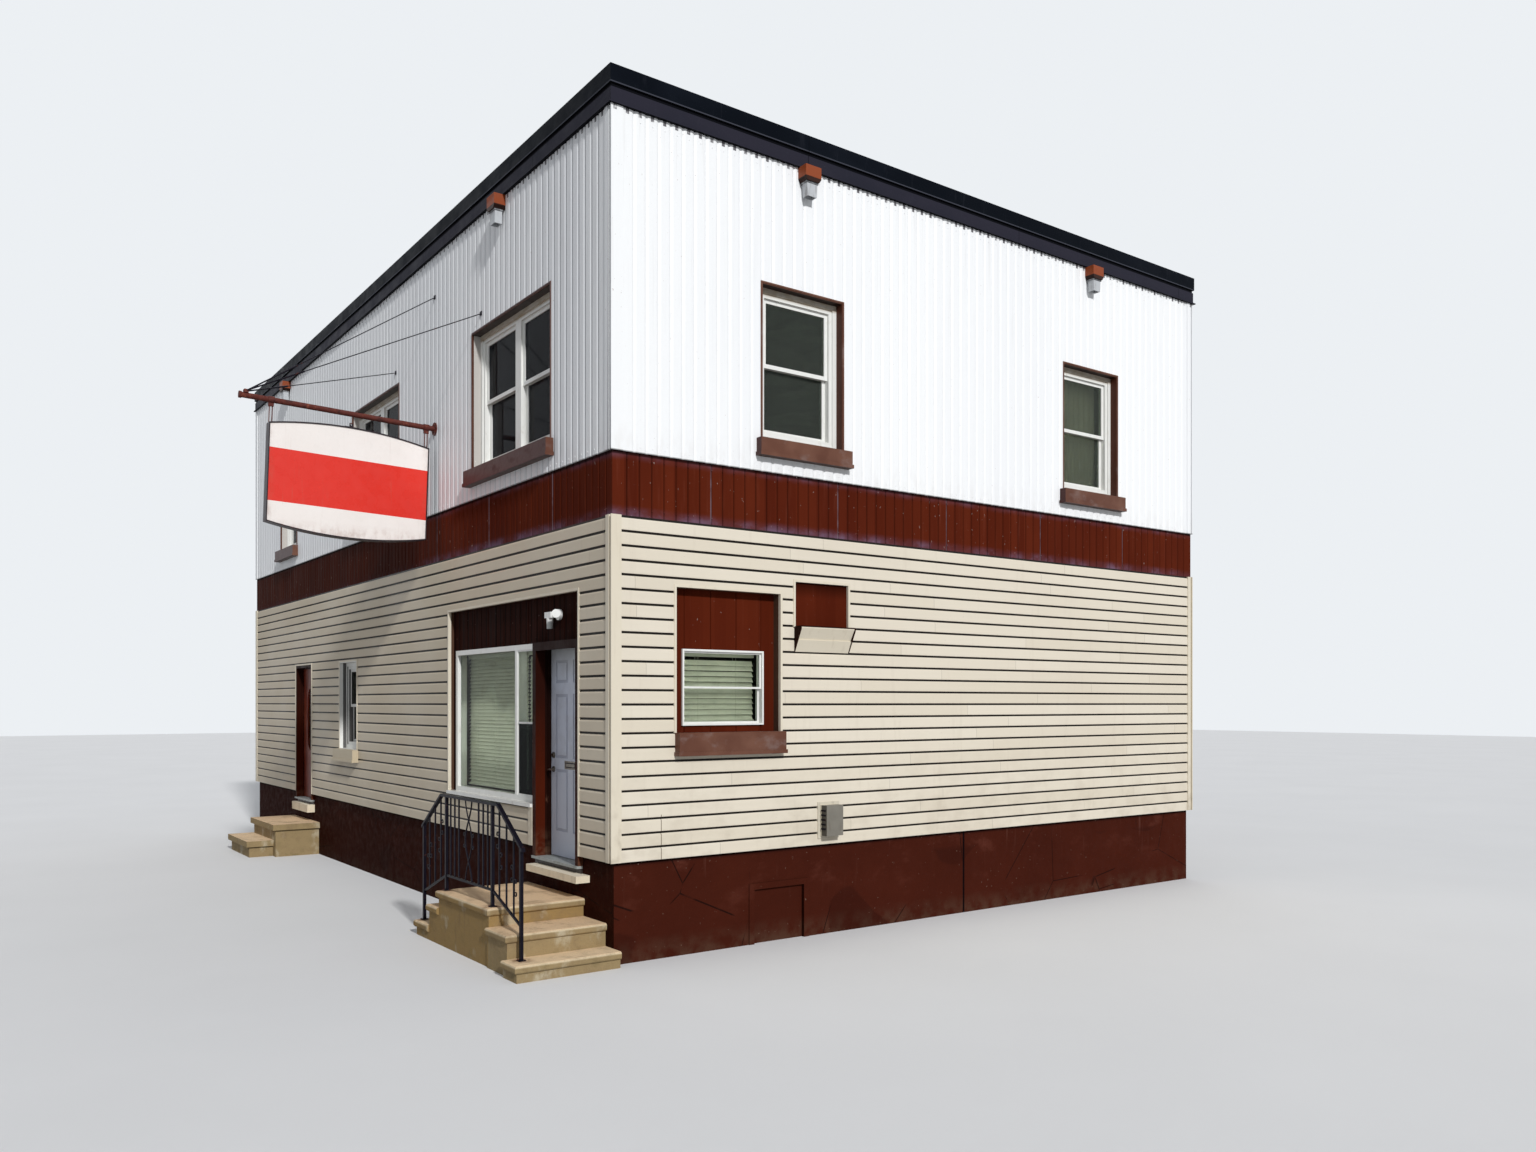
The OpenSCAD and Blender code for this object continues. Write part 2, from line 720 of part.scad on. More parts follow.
module upper_wall(i, q) full_wall(i, q, face_length(i) - q, upper_floor_z, upper_wall_top,
    upper_windows(i), upper_window_z, upper_window_h);
module front_upper_wall() color(white) place() upper_wall(0, skin_t);
module right_upper_wall() color(white) place() upper_wall(1, inner);
module back_upper_wall() color(white) place() upper_wall(2, skin_t);
module left_upper_wall() color(white) place() upper_wall(3, inner);

// Siding, band and cladding
// Narrow trims at the openings of the siding, given by their depth range.
module trim_arch(x0, x1, z0, z1, y0, y1) {
    slab(x0 - trim_w, x0, y0, y1, z0, z1 + trim_w);
    slab(x1, x1 + trim_w, y0, y1, z0, z1 + trim_w);
    slab(x0 - eps, x1 + eps, y0, y1, z1, z1 + trim_w);
}
module trims_on(i, y0, y1) {
    for (w = lower_windows(i))
        trim_arch(w[0] - w[1] / 2, w[0] + w[1] / 2, small_window_z, small_window_z + small_window_h, y0, y1);
    if (i == 0) {
        trim_arch(front_length - side_bay_0 - side_bay_w, front_length - side_bay_0,
            foundation_h, side_head_z, y0, y1);
        slab(front_length - recess_end - trim_w, front_length - recess_end, y0, y1,
            shop_window_z, shop_panel_top_z + trim_w);
        slab(front_length - recess_end - eps, front_length - pier_w + eps, y0, y1,
            shop_panel_top_z, shop_panel_top_z + trim_w);
        slab(front_length - pier_w, front_length - pier_w + trim_w, y0, y1,
            foundation_h, shop_panel_top_z + trim_w);
        slab(front_length - bay_end - upright_w, front_length - bay_end, y0, y1,
            foundation_h, shop_window_z - shop_sill_t);
    }
    if (i == 1) {
        trim_arch(niche_t0, niche_t0 + niche_w, niche_z, niche_z + niche_h, y0, y1);
        trim_arch(vent_t0, vent_t0 + vent_w, vent_z, vent_z + vent_h, y0, y1);
    }
}
module siding_face(i) on_face(i) difference() {
    lapped(post_w, face_length(i) - post_w);
    trims_on(i, -eps, inner);
    window_holes(lower_windows(i), small_window_z - tongue_t, small_window_h + tongue_t);
    if (i == 0) {
        slab(front_length - recess_end, front_length - pier_w, -eps, inner,
            shop_window_z - shop_sill_t, shop_panel_top_z);
        slab(front_length - bay_end, front_length - pier_w, -eps, inner, 0, shop_window_z);
        slab(front_length - side_bay_0 - side_bay_w, front_length - side_bay_0, -eps, inner,
            0, side_head_z);
    }
    if (i == 1) {
        slab(niche_t0, niche_t0 + niche_w, -eps, inner, niche_z - tongue_t, niche_z + niche_h);
        slab(vent_t0, vent_t0 + vent_w, -eps, inner, vent_z - skirt_h, vent_z + vent_h);
        slab(meter_s - meter_w / 2 - 30, meter_s + meter_w / 2 + 30, -eps, inner,
            meter_z - 30, meter_z + meter_h + 30);
    }
}
module lap_siding() color(beige) place() for (i = [0:3]) siding_face(i);
module siding_corner_posts() color(beige) place() corner_posts(post_w, foundation_h, siding_top);
module siding_trims() color(beige) place() for (i = [0:3]) on_face(i) trims_on(i, -trim_proud, skin_t);
module brown_band() color(brown) place() {
    for (i = [0, 2]) on_face(i)
        grooved(band_back, face_length(i) - band_back, band_back, skin_t - band_back, siding_top, band_top);
    for (i = [1, 3]) on_face(i)
        grooved(skin_t - eps, face_length(i) - skin_t + eps, band_back, skin_t - band_back,
            siding_top, band_top);
}
// Brown edge strips round the upper windows, given by their depth range.
module edges_on(i, y0, y1) for (w = upper_windows(i), k = [-1, 1]) {
    x = w[0] + k * (w[1] + edge_w) / 2;
    slab(x - edge_w / 2, x + edge_w / 2, y0, y1, upper_window_z, upper_window_z + upper_window_h + edge_w);
    slab(w[0] - w[1] / 2 - eps, w[0] + w[1] / 2 + eps, y0, y1, upper_window_z + upper_window_h,
        upper_window_z + upper_window_h + edge_w);
}
module window_edges() color(brown) place() for (i = [0:3]) on_face(i) {
    edges_on(i, -trim_proud, skin_t);
    for (w = upper_windows(i)) lining(w, upper_window_z, upper_window_h, reveal);
}
module upper_cladding() color(white) place() difference() {
    for (i = [0:3]) on_face(i) difference() {
        grooved(trim_post_w, face_length(i) - trim_post_w, 0, skin_t, band_top, cladding_top, w = groove_w);
        window_holes(upper_windows(i), upper_window_z - tongue_t, upper_window_h + tongue_t);
        edges_on(i, -eps, inner);
    }
    at_scuppers() scupper_hole();
}
module upper_corner_trims() color(white) place() corner_posts(trim_post_w, band_top, cladding_top);

// Fascia and scuppers
module lower_fascia() color(dark) place() {
    ring(drip_proud, skin_t, cladding_top, drip_h);
    ring(fascia_proud, skin_t, cladding_top, fascia_h - fascia_gap);
    ring(gap_proud, skin_t, cladding_top, fascia_h);
}
module fascia_cap() color(dark) place() {
    ring(cap_proud, skin_t, fascia_top, parapet_top - fascia_top + eps);
    ring(cap_proud, skin_t + parapet_t + 20, parapet_top, cap_t);
}
module at_scuppers() {
    for (s = [front_scupper_1, front_scupper_2]) on_front() translate([front_length - s, 0, 0]) children();
    for (t = [side_scupper_1, side_scupper_2]) on_right() translate([t, 0, 0]) children();
}
scupper_z = roof_z;
channel_w = scupper_w - 40;
channel_h = 100;
module scupper_hole() {
    translate([-channel_w / 2, -eps, roof_z - eps])
        cube([channel_w, inner + 100, channel_h + eps]);
}
module roof_scuppers() color(brown) place() at_scuppers() difference() {
    union() {
        translate([-scupper_w / 2, -scupper_proud, scupper_z])
            cube([scupper_w, scupper_proud, scupper_h]);
        rotate([90, 0, 0]) translate([0, roof_z, 0]) linear_extrude(scupper_proud) polygon([
            [-scupper_w / 2, 0], [scupper_w / 2, 0],
            [spout_w / 2 + 6, -hopper_h], [-spout_w / 2 - 6, -hopper_h]]);
        translate([-channel_w / 2, -eps, roof_z]) cube([channel_w, skin_t + parapet_t + eps, channel_h]);
    }
    translate([-channel_w / 2 + sheet_t, -eps, roof_z + sheet_t])
        cube([channel_w - 2 * sheet_t, inner + 100, channel_h - 2 * sheet_t]);
    translate([-scupper_w / 2 + sheet_t, -scupper_proud + sheet_t, scupper_z + sheet_t])
        cube([scupper_w - 2 * sheet_t, scupper_proud - sheet_t * 2, scupper_h - 2 * sheet_t]);
    translate([-spout_w / 2 + sheet_t, sheet_t - (scupper_proud + spout_d) / 2,
        scupper_z - hopper_h - eps])
        cube([spout_w - 2 * sheet_t, spout_d - 2 * sheet_t, hopper_h + sheet_t + 2 * eps]);
}
function spout_outline(q, e) = let(a = spout_w / 2 - q, b = a - spout_taper)
    [[-a, e], [a, e], [b, -spout_l - e], [-b, -spout_l - e]];
module scupper_spouts() color([0.72, 0.74, 0.76]) place() at_scuppers()
    translate([0, (spout_d - scupper_proud) / 2, scupper_z - hopper_h]) difference() {
        union() {
            rotate([90, 0, 0]) linear_extrude(spout_d) polygon(spout_outline(0, 0));
            translate([-spout_w / 2 - 7, -spout_d - 7, -14]) cube([spout_w + 14, spout_d + 14, 14]);
        }
        translate([0, -sheet_t, 0]) rotate([90, 0, 0]) linear_extrude(spout_d - 2 * sheet_t)
            polygon(spout_outline(sheet_t, eps));
    }

// Windows
module upper_window_frames() color(white) place() for (i = [0:3]) on_face(i)
    for (w = upper_windows(i)) boarded_unit(w, upper_window_z, upper_window_h, reveal);
module upper_window_glass() color([0.2, 0.25, 0.26, 0.6]) place() for (i = [0:3]) on_face(i)
    for (w = upper_windows(i)) boarded_unit(w, upper_window_z, upper_window_h, reveal, true);
niche_window = [niche_t0 + niche_strip + niche_window_w / 2, niche_window_w, 1];
niche_window_z = niche_z + niche_rise;
niche_front = niche_back - 24;
module lower_window_frames() color(white) place() {
    for (i = [0:3]) on_face(i)
        for (w = lower_windows(i)) {
            boarded_unit(w, small_window_z, small_window_h, reveal);
            lining(w, small_window_z, small_window_h, reveal + eps);
        }
    on_right() window_unit(niche_window, niche_window_z, niche_window_h, niche_front,
        false, niche_frame_w, niche_sash_w);
}
module lower_window_glass() color([0.2, 0.25, 0.26, 0.6]) place() {
    for (i = [0:3]) on_face(i)
        for (w = lower_windows(i)) boarded_unit(w, small_window_z, small_window_h, reveal, true);
    on_right() window_unit(niche_window, niche_window_z, niche_window_h, niche_front,
        true, niche_frame_w, niche_sash_w);
    on_front() shop_glass();
}
module window_sills() color(brown) place() {
    for (i = [0:3]) on_face(i) {
        for (w = upper_windows(i)) sill(w, upper_window_z);
        for (w = lower_windows(i)) sill(w, small_window_z);
    }
    on_right() sill([niche_t0 + niche_w / 2, niche_w, 1], niche_z, niche_sill_h, niche_sill_over);
}

// Shop window
shop_x0 = front_length - bay_end - shop_window_w;
shop_h = shop_head_z - shop_window_z;
shop_vent_x = shop_window_w - shop_vent_w + vent_post_w;
shop_vent_in = shop_vent_w - vent_post_w - frame_w - 12;
module shop_window_frame() color(white) place() on_front() {
    translate([shop_x0, shop_recess, shop_window_z]) {
        frame_ring(shop_window_w, frame_d, shop_h, frame_w + 12);
        translate([shop_window_w - shop_vent_w, 0, 1]) cube([vent_post_w, frame_d, shop_h - 2]);
        translate([shop_vent_x - 1, 6, frame_w + 11]) {
            frame_ring(shop_vent_in + 2, 22, shop_h - 2 * frame_w - 22, vent_sash_w + 1);
            translate([1, 0, (shop_h - vent_sash_w) / 2 - frame_w - 13])
                cube([shop_vent_in, 22, vent_sash_w + 4]);
        }
    }
    slab(front_length - recess_end, front_length - bay_end, -28, shop_recess + frame_d,
        shop_window_z - shop_sill_t, shop_window_z);
}
module shop_glass() {
    translate([shop_x0, shop_recess + 40, shop_window_z]) {
        translate([frame_w + 12, 0, frame_w + 12])
            cube([shop_window_w - shop_vent_w - frame_w - 12, glass_t, shop_h - 2 * frame_w - 24]);
        for (z = [frame_w + 12 + vent_sash_w, shop_h / 2 + vent_sash_w / 2 + 2])
            translate([shop_vent_x + vent_sash_w, -26, z])
                cube([shop_vent_in - 2 * vent_sash_w, glass_t,
                    shop_h / 2 - 1.5 * vent_sash_w - frame_w - 14]);
    }
}

// Infill panels of the shop front and the side wall
module infill_panels() color(brown) place() {
    on_front() {
        grooved(front_length - recess_end, front_length - pier_w, shop_recess, inner - shop_recess,
            shop_head_z, shop_panel_top_z, shop_pitch, 16);
        slab(front_length - recess_end, front_length - recess_end + shop_trim_w, shop_recess, inner,
            shop_window_z, shop_head_z + eps);
    }
    on_right() difference() {
        grooved(niche_t0, niche_t0 + niche_w, niche_back, panel_t, niche_z, niche_z + niche_h,
            niche_pitch, 12);
        translate([niche_window[0] - niche_window_w / 2, 0, niche_window_z])
            cube([niche_window_w, inner, niche_window_h]);
    }
    on_right() slab(vent_t0, vent_t0 + vent_w, skin_t - vent_panel_t, skin_t, vent_z, vent_z + vent_h);
}
module vent_skirt() color(beige) place() on_right()
    translate([vent_t0, 0, vent_z - skirt_h]) rotate([90, 0, 90]) linear_extrude(vent_w)
        polygon([[skin_t, 0], [0, 0], [-skirt_proud / 2, skirt_h / 2 - 6],
            [-skirt_proud / 2 + 12, skirt_h / 2], [-skirt_proud, skirt_h - 12], [-skirt_proud, skirt_h], [skin_t, skirt_h]]);
module meter_box() color([0.55, 0.57, 0.6]) place() on_right() {
    slab(meter_s - meter_w / 2 - 30, meter_s + meter_w / 2 + 30, -10, skin_t,
        meter_z - 30, meter_z + meter_h + 30);
    slab(meter_s - meter_w / 2, meter_s + meter_w / 2, -110, -10 + eps, meter_z, meter_z + meter_h);
}

// Doors
// A frame of two jambs and a head with a stop in front of the leaf.
module door_frame(w, j0, j1, head_top, y0, back) {
    h = leaf_top + door_gap - ground_floor_z;
    difference() {
        slab(-j0, w + 2 * door_gap + j1, y0, back + door_t - jamb_short, ground_floor_z, head_top);
        slab(0, w + 2 * door_gap, y0 - eps, back + door_t, ground_floor_z - eps, ground_floor_z + h);
    }
    difference() {
        slab(-eps, w + 2 * door_gap + eps, back - door_gap - stop_t, back - door_gap,
            ground_floor_z, ground_floor_z + h + eps);
        slab(stop_w, w + 2 * door_gap - stop_w, 0, inner, ground_floor_z - eps, ground_floor_z + h - stop_w);
    }
}
// Hinge halves at the inner edge of a leaf; the zero is the pin, the jamb towards +x.
module at_hinges() for (f = [0.12, 0.5, 0.88])
    translate([0, 0, leaf_z + f * door_h - hinge_h / 2]) children();
module hinge_fixed(y_jamb) at_hinges() {
    cylinder(r = pin_r, h = hinge_h);
    for (z = [0, 2 * hinge_h / 3]) translate([0, 0, z]) {
        cylinder(r = knuckle_r, h = hinge_h / 3);
        translate([door_gap / 2, y_jamb, 0]) cube([knuckle_r - door_gap / 2, -y_jamb, hinge_h / 3]);
        translate([door_gap / 2, y_jamb - eps, 0]) cube([28, 4 + eps, hinge_h / 3]);
    }
}
module hinge_moving(y_leaf) at_hinges() translate([0, 0, hinge_h / 3 + 1]) difference() {
    union() {
        cylinder(r = knuckle_r, h = hinge_h / 3 - 2);
        translate([-knuckle_r, y_leaf - eps, 0])
            cube([knuckle_r - door_gap / 2, -y_leaf + eps, hinge_h / 3 - 2]);
        translate([-34, y_leaf - eps, 0]) cube([34 - door_gap / 2, 3 + eps, hinge_h / 3 - 2]);
    }
    translate([0, 0, -eps]) cylinder(r = pin_r + pin_play, h = hinge_h);
}
shop_pin_x = front_length - pier_w - door_jamb_w - door_gap / 2;
side_pin_x = front_length - side_door_s - side_door_w / 2 - door_gap / 2;
jamb_short = 4;
pin_back = 9;
shop_leaf_x = front_length - bay_end + door_post_w + door_gap;
side_leaf_x = front_length - side_door_s - side_door_w / 2;
side_back = 110;
side_slab_z = ledge_z + 10;
module door_casings() color(brown) place() on_front() {
    translate([shop_leaf_x - door_gap, 0, 0])
        door_frame(door_w, door_post_w, door_jamb_w, shop_head_z, 0, door_back);
    slab(front_length - bay_end, front_length - pier_w, 0, 34, shop_head_z - head_board_h, shop_head_z);
    translate([side_leaf_x - door_gap, 0, 0])
        door_frame(side_door_w, side_jamb_w, side_jamb_w, side_head_z, 0, side_back);
    translate([shop_pin_x, door_back + door_t + pin_back, 0]) hinge_fixed(-pin_back - jamb_short);
    translate([side_pin_x, side_back + door_t + pin_back, 0]) mirror([1, 0, 0])
        hinge_fixed(-pin_back - jamb_short);
}
stile = 110;
panel_w = (door_w - 3 * stile) / 2;
panel_rows = [[244, 600], [954, 620], [1684, 220]];
// Leaf with panels: a sunk ring round each raised field, on both faces.
module panel_ring(x, z, w, h, y) translate([x, y, z]) difference() {
    cube([w, 7, h]);
    translate([28, -eps, 28]) cube([w - 56, 9, h - 56]);
}
module shop_door() color([0.6, 0.62, 0.7]) place() on_front() {
    translate([shop_pin_x, door_back + door_t + pin_back, 0]) hinge_moving(-pin_back);
    translate([shop_leaf_x, door_back, leaf_z]) difference() {
        cube([door_w, door_t, door_h]);
        for (c = [0, 1], r = panel_rows) {
            x = stile + c * (panel_w + stile);
            panel_ring(x, r[0], panel_w, r[1], -1);
            panel_ring(x, r[0], panel_w, r[1], door_t - 6);
        }
    }
}
module shop_door_handle() color([0.75, 0.74, 0.7]) place() on_front()
    translate([shop_leaf_x + 62, door_back, leaf_z + lever_z]) {
        for (z = [0, 137]) translate([0, 0, z]) rotate([90, 0, 0]) cylinder(r = 29, h = 10);
        rotate([90, 0, 0]) cylinder(r = 10, h = 50);
        translate([-10, -62, -9]) cube([115, 14, 18]);
        translate([0, 0, 137]) rotate([90, 0, 0]) cylinder(r = 18, h = 22);
        translate([0, door_t, 0]) {
            rotate([-90, 0, 0]) cylinder(r = 29, h = 8);
            rotate([-90, 0, 0]) cylinder(r = 10, h = 36);
            translate([-10, 32, -9]) cube([110, 12, 18]);
        }
        for (x = [0, 78]) translate([door_w - 280 + x, -6, 30]) cube([70, 6, 66]);
    }
module oval_cut(w, h, t) {
    rotate([90, 0, 0]) translate([0, 0, -t]) linear_extrude(t) {
        translate([0, h / 2]) circle(d = w);
        translate([0, -h / 2]) circle(d = w);
        square([w, h], center = true);
    }
}
oval_z = leaf_z + 1230;
module side_door() color([0.28, 0.1, 0.06]) place() on_front() {
    difference() {
        translate([side_leaf_x, side_back, leaf_z]) cube([side_door_w, door_t, door_h]);
        translate([side_leaf_x + side_door_w / 2, side_back - eps, oval_z])
            oval_cut(oval_w, oval_h, door_t + 2 * eps);
    }
    translate([side_pin_x, side_back + door_t + pin_back, 0]) mirror([1, 0, 0])
        hinge_moving(-pin_back);
    for (s = [-1, 1]) translate([side_leaf_x + side_door_w - 65, side_back + (s + 1) / 2 * door_t,
        leaf_z + 930]) rotate([-90 * s, 0, 0]) {
        cylinder(r = 28, h = 8);
        cylinder(r = 9, h = 34);
        translate([0, 0, 32]) cylinder(r1 = 18, r2 = 27, h = 12);
        translate([0, 0, 44]) cylinder(r1 = 27, r2 = 18, h = 10);
    }
}
module side_door_glass() color([0.4, 0.3, 0.2, 0.6]) place() on_front()
    translate([side_leaf_x + side_door_w / 2, side_back + door_t / 2 - glass_t / 2, oval_z])
        oval_cut(oval_w, oval_h, glass_t);

// Entrance
// Points of an arc from angle a0 to a1, its radius going from r0 to r1.
function arc(cx, cy, r0, r1, a0, a1, n = 5) = [for (i = [0:n]) let(u = i / n, r = r0 + (r1 - r0) * u)
    [cx + r * cos(a0 + (a1 - a0) * u), cy + r * sin(a0 + (a1 - a0) * u)]];
// A tread slab from x0 to x1 with its front at y = 0, edges rounded, the ends by r0 and r1.
module tread(x0, x1, d, r0, r1) intersection() {
    r = tread_r;
    rotate([90, 0, 0]) translate([0, 0, -d]) linear_extrude(d) polygon(concat(
        arc(x1 - r1, tread_t - r1, r1, r1, 0, 90), arc(x0 + r0, tread_t - r0, r0, r0, 90, 180),
        arc(x0 + r0, r0, r0, r0, 180, 270), arc(x1 - r1, r1, r1, r1, 270, 360)));
    translate([x0 - eps, 0, 0]) rotate([90, 0, 90]) linear_extrude(x1 - x0 + 2 * eps)
        polygon(concat([[d, 0], [d, tread_t]],
            arc(r, tread_t - r, r, r, 90, 180), arc(r, r, r, r, 180, 270)));
}
// A step with its tread, standing out in front of the landing by p; ends n0 and n1: 1 free, 0 joined.
module step_block(x0, x1, p, top, n0 = 1, n1 = 1) translate([0, -p, 0]) {
    d = landing_d + foundation_back + p;
    translate([x0 + n0 * nosing, nosing, 0])
        cube([x1 - x0 - (n0 + n1) * nosing, d - nosing, top - tread_t / 2]);
    translate([0, 0, top - tread_t])
        tread(x0, x1, d, n0 == 1 ? tread_r : 0.5, n1 == 1 ? tread_r : 0.5);
}
module entrance_steps() color(stone) place() translate([-stair_s, -landing_d, 0]) {
    half = landing_w / 2;
    join = nosing + 1;
    step_block(-half, half, 0, landing_z);
    step_block(half - join, half + step_run, step_out, base_rise + low_rise, 0, 1);
    step_block(half + step_run - join, half + step_run + base_run, base_out, base_rise, 0, 1);
    step_block(-half - left_run, -half + join, 0, base_rise + low_rise, 1, 0);
    step_block(-half - left_run - left_base_run, -half - left_run + join, 0, base_rise, 1, 0);
}
module door_thresholds() color(stone) place() on_front() {
    slab(front_length - slab_s - slab_w, front_length - slab_s, -slab_proud, inner,
        door_slab_z - slab_t, door_slab_z);
    slab(front_length - side_bay_0 - side_bay_w, front_length - side_bay_0, -60, inner,
        side_slab_z, door_slab_z);
}
module door_sill(x0, x1, proud) {
    slab(x0, x1, -proud, inner, ground_floor_z - sill_plate_t, ground_floor_z);
    slab(x0, x1, sill_body_back, inner, door_slab_z, ground_floor_z - sill_plate_t + eps);
}
module door_sills() color(white) place() on_front() {
    door_sill(front_length - bay_end, front_length - pier_w, 12);
    door_sill(front_length - side_bay_0 - side_bay_w, front_length - side_bay_0, 20);
}
module side_door_steps() color(stone) place() on_front() {
    c = front_length - side_door_s - side_landing_w / 2;
    for (q = [[0, side_landing_d, side_landing_h], [170, side_landing_d + side_run, side_landing_h / 2]]) {
        slab(c, c + side_landing_w - q[0], -q[1], foundation_back, q[2] - side_slab_t, q[2]);
        slab(c + 45, c + side_landing_w - q[0] - 45, -q[1] + 45, foundation_back, 0, q[2] - side_slab_t / 2);
    }
}
rail_y = -landing_d + rail_in;
rail_top = landing_z + rail_h;
end_x = landing_w / 2 + step_run + end_in;
end_top = base_rise + end_rail_h;
post_x = baluster_in + 3 * baluster_pitch;
bend_x = post_x + level_past;
low_z = landing_z + low_rail;
slope = (rail_top - end_top) / (end_x - bend_x);
low_slope = (low_z - base_rise - end_low_h) / (end_x - post_x);
function slope_top(x) = rail_top - slope * max(x - bend_x, 0);
function slope_low(x) = low_z - low_slope * max(x - post_x, 0);
// A rail level up to x = bend and sloping down to x = reach on both sides.
module bent_rail(bend, reach, z_at, z_end, t, d) {
    rotate([90, 0, 0]) translate([0, 0, -d / 2]) linear_extrude(d) polygon([
        [-reach, z_end], [-bend, z_at], [bend, z_at], [reach, z_end],
        [reach, z_end - t], [bend, z_at - t], [-bend, z_at - t], [-reach, z_end - t]]);
}
module upright(x, z0, z1, side) translate([x - side / 2, -side / 2, z0]) cube([side, side, z1 - z0]);
module foot_plate(x, z) translate([x - 32, -32, z]) cube([64, 64, 6]);
// A flat bar along a line of points in the plane of the railing.
function side_point(p, i, w) =
    let(a = p[max(i - 1, 0)], b = p[min(i + 1, len(p) - 1)], v = (b - a) / norm(b - a))
    p[i] + w / 2 * [-v[1], v[0]];
module ribbon(p, w, d) rotate([90, 0, 0]) translate([0, 0, -d / 2]) linear_extrude(d)
    polygon(concat([for (i = [0:len(p) - 1]) side_point(p, i, w)],
        [for (i = [len(p) - 1:-1:0]) side_point(p, i, -w)]));
// A curled bar: a straight back against x and a curl at each end, opening towards side f.
function curl(x, z, r, back, f) = concat(
    [for (i = [12:-1:0]) let(q = arc(0, 0, r, 0.36 * r, 180, 490, 12)[i])
        [x + f * (r + q[0]), z - back + q[1]]],
    [for (q = arc(0, 0, r, 0.36 * r, 180, -130, 12)) [x + f * (r + q[0]), z + back + q[1]]]);
// One of the two bars in the middle: it swings to and fro and crosses the other twice.
function lyre(f) = let(z1 = rail_top - rail_cap / 2, z0 = low_z - low_t / 2)
    [for (i = [0:24]) [f * lyre_w * cos(15 * i), z1 - (z1 - z0) * i / 24]];
lyre_mid = (rail_top - rail_cap / 2 + low_z - low_t / 2) / 2;
bay = (end_x - post_x) / 4;
module railing_half() {
    upright(post_x, landing_z, rail_top - rail_cap / 2, rail_post);
    upright(end_x, base_rise, end_top - rail_cap / 2, rail_post);
    foot_plate(post_x, landing_z);
    foot_plate(end_x, base_rise);
    for (k = [0:2])
        upright(baluster_in + k * baluster_pitch, low_z - low_t / 2, rail_top - rail_cap / 2, baluster);
    for (k = [1:3]) {
        x = post_x + k * bay;
        upright(x, slope_low(x) - low_t / 2, slope_top(x) - rail_cap / 2, baluster);
    }
    for (q = [[1, -1, 0.62], [1, 1, 0.4], [3, -1, 0.5], [3, 1, 0.34]]) {
        x = post_x + q[0] * bay;
        z = slope_low(x) + q[2] * (slope_top(x) - slope_low(x));
        ribbon(curl(x + q[1] * (baluster / 2 + scroll_w / 2 - 0.6), z, curl_r, curl_back, q[1]),
            scroll_w, scroll_d - 2);
    }
    ribbon(curl(lyre_w + scroll_w - 0.6, lyre_mid, 0.8 * curl_r, curl_back, 1), scroll_w, scroll_d - 4);
}
module entrance_railing() color(iron) place() translate([-stair_s - rail_shift, rail_y, 0]) {
    railing_half();
    mirror([1, 0, 0]) railing_half();
    bent_rail(bend_x, end_x + 40, rail_top, slope_top(end_x + 40), rail_cap, 38);
    bent_rail(post_x, end_x, low_z, slope_low(end_x), low_t, 18);
    ribbon(lyre(1), scroll_w, scroll_d);
    ribbon(lyre(-1), scroll_w, scroll_d - 2);
}
module floodlight() color(white) place() on_front()
    translate([front_length - bay_end + door_post_w + 0.5 * door_w, shop_recess, shop_panel_top_z - 190]) {
        rotate([90, 0, 0]) cylinder(r = 52, h = 26);
        rotate([90, 0, 0]) cylinder(r = 17, h = 62);
        translate([-105, -58, 0]) rotate([0, 90, 0]) cylinder(r = 11, h = 160);
        translate([-170, -84, -28]) cube([130, 52, 56]);
        translate([-105, -58, -132]) cylinder(r1 = 29, r2 = 34, h = 105);
        translate([42, -58, -8]) rotate([84, 0, 60]) {
            cylinder(r1 = 20, r2 = 39, h = 74);
            translate([0, 0, 73]) cylinder(r = 41, h = 12);
        }
    }

// Sign
module at_sign() place() translate([-sign_s, 0, pipe_z]) rotate([-pipe_rise, 0, 0]) children();
// Outline of the sign, p away from the wall, z down from the pipe, curved top and bottom.
sign_r = (pow(sign_w / 2, 2) + pow(sign_arch, 2)) / (2 * sign_arch);
seat = 0.3;
// Level of a hanger rod's foot on the arched top, u away from the middle of the sign.
function rod_foot(u) = seat - hanger_l + sign_arch - sign_r + sqrt(pow(sign_r, 2) - pow(u, 2));
module sign_outline(inset) {
    r = sign_r;
    w = sign_w - 2 * inset;
    h = sign_h - 2 * inset;
    intersection() {
        translate([-w / 2, -h / 2 - sign_arch]) square([w, h + 2 * sign_arch]);
        translate([0, h / 2 + sign_arch - r]) circle(r = r, $fn = 180);
        translate([0, -h / 2 - sign_arch + r]) circle(r = r, $fn = 180);
    }
}
module sign_solid(inset, x0, t) translate([x0, -sign_gap - sign_w / 2, -hanger_l - sign_h / 2])
    rotate([90, 0, 90]) linear_extrude(t) sign_outline(inset);
module sign_cabinet() color(dark) at_sign() {
    difference() {
        sign_solid(0, -sign_t / 2, sign_t);
        sign_solid(sign_rim, -sign_t / 2 - eps, 20 + eps);
        sign_solid(sign_rim, sign_t / 2 - 20, 20 + eps);
    }
    // lifting eye on the top
    translate([0, -sign_gap - sign_w / 2, sign_arch - hanger_l]) {
        translate([-30, -75, -4]) cube([60, 150, 16]);
        difference() {
            translate([-8, -20, 11]) cube([16, 40, 48]);
            translate([-9, 0, 40]) rotate([0, 90, 0]) cylinder(r = 9, h = 18);
        }
    }
}
module sign_faces() color(white) at_sign() for (s = [-1, 1])
    sign_solid(sign_rim, s * (sign_t / 2 - 20 + sign_face_t / 2) - sign_face_t / 2, sign_face_t);
module end_plate() translate([-32, -pipe_l + 48, pipe_r - 4]) cube([64, 44, 36]);
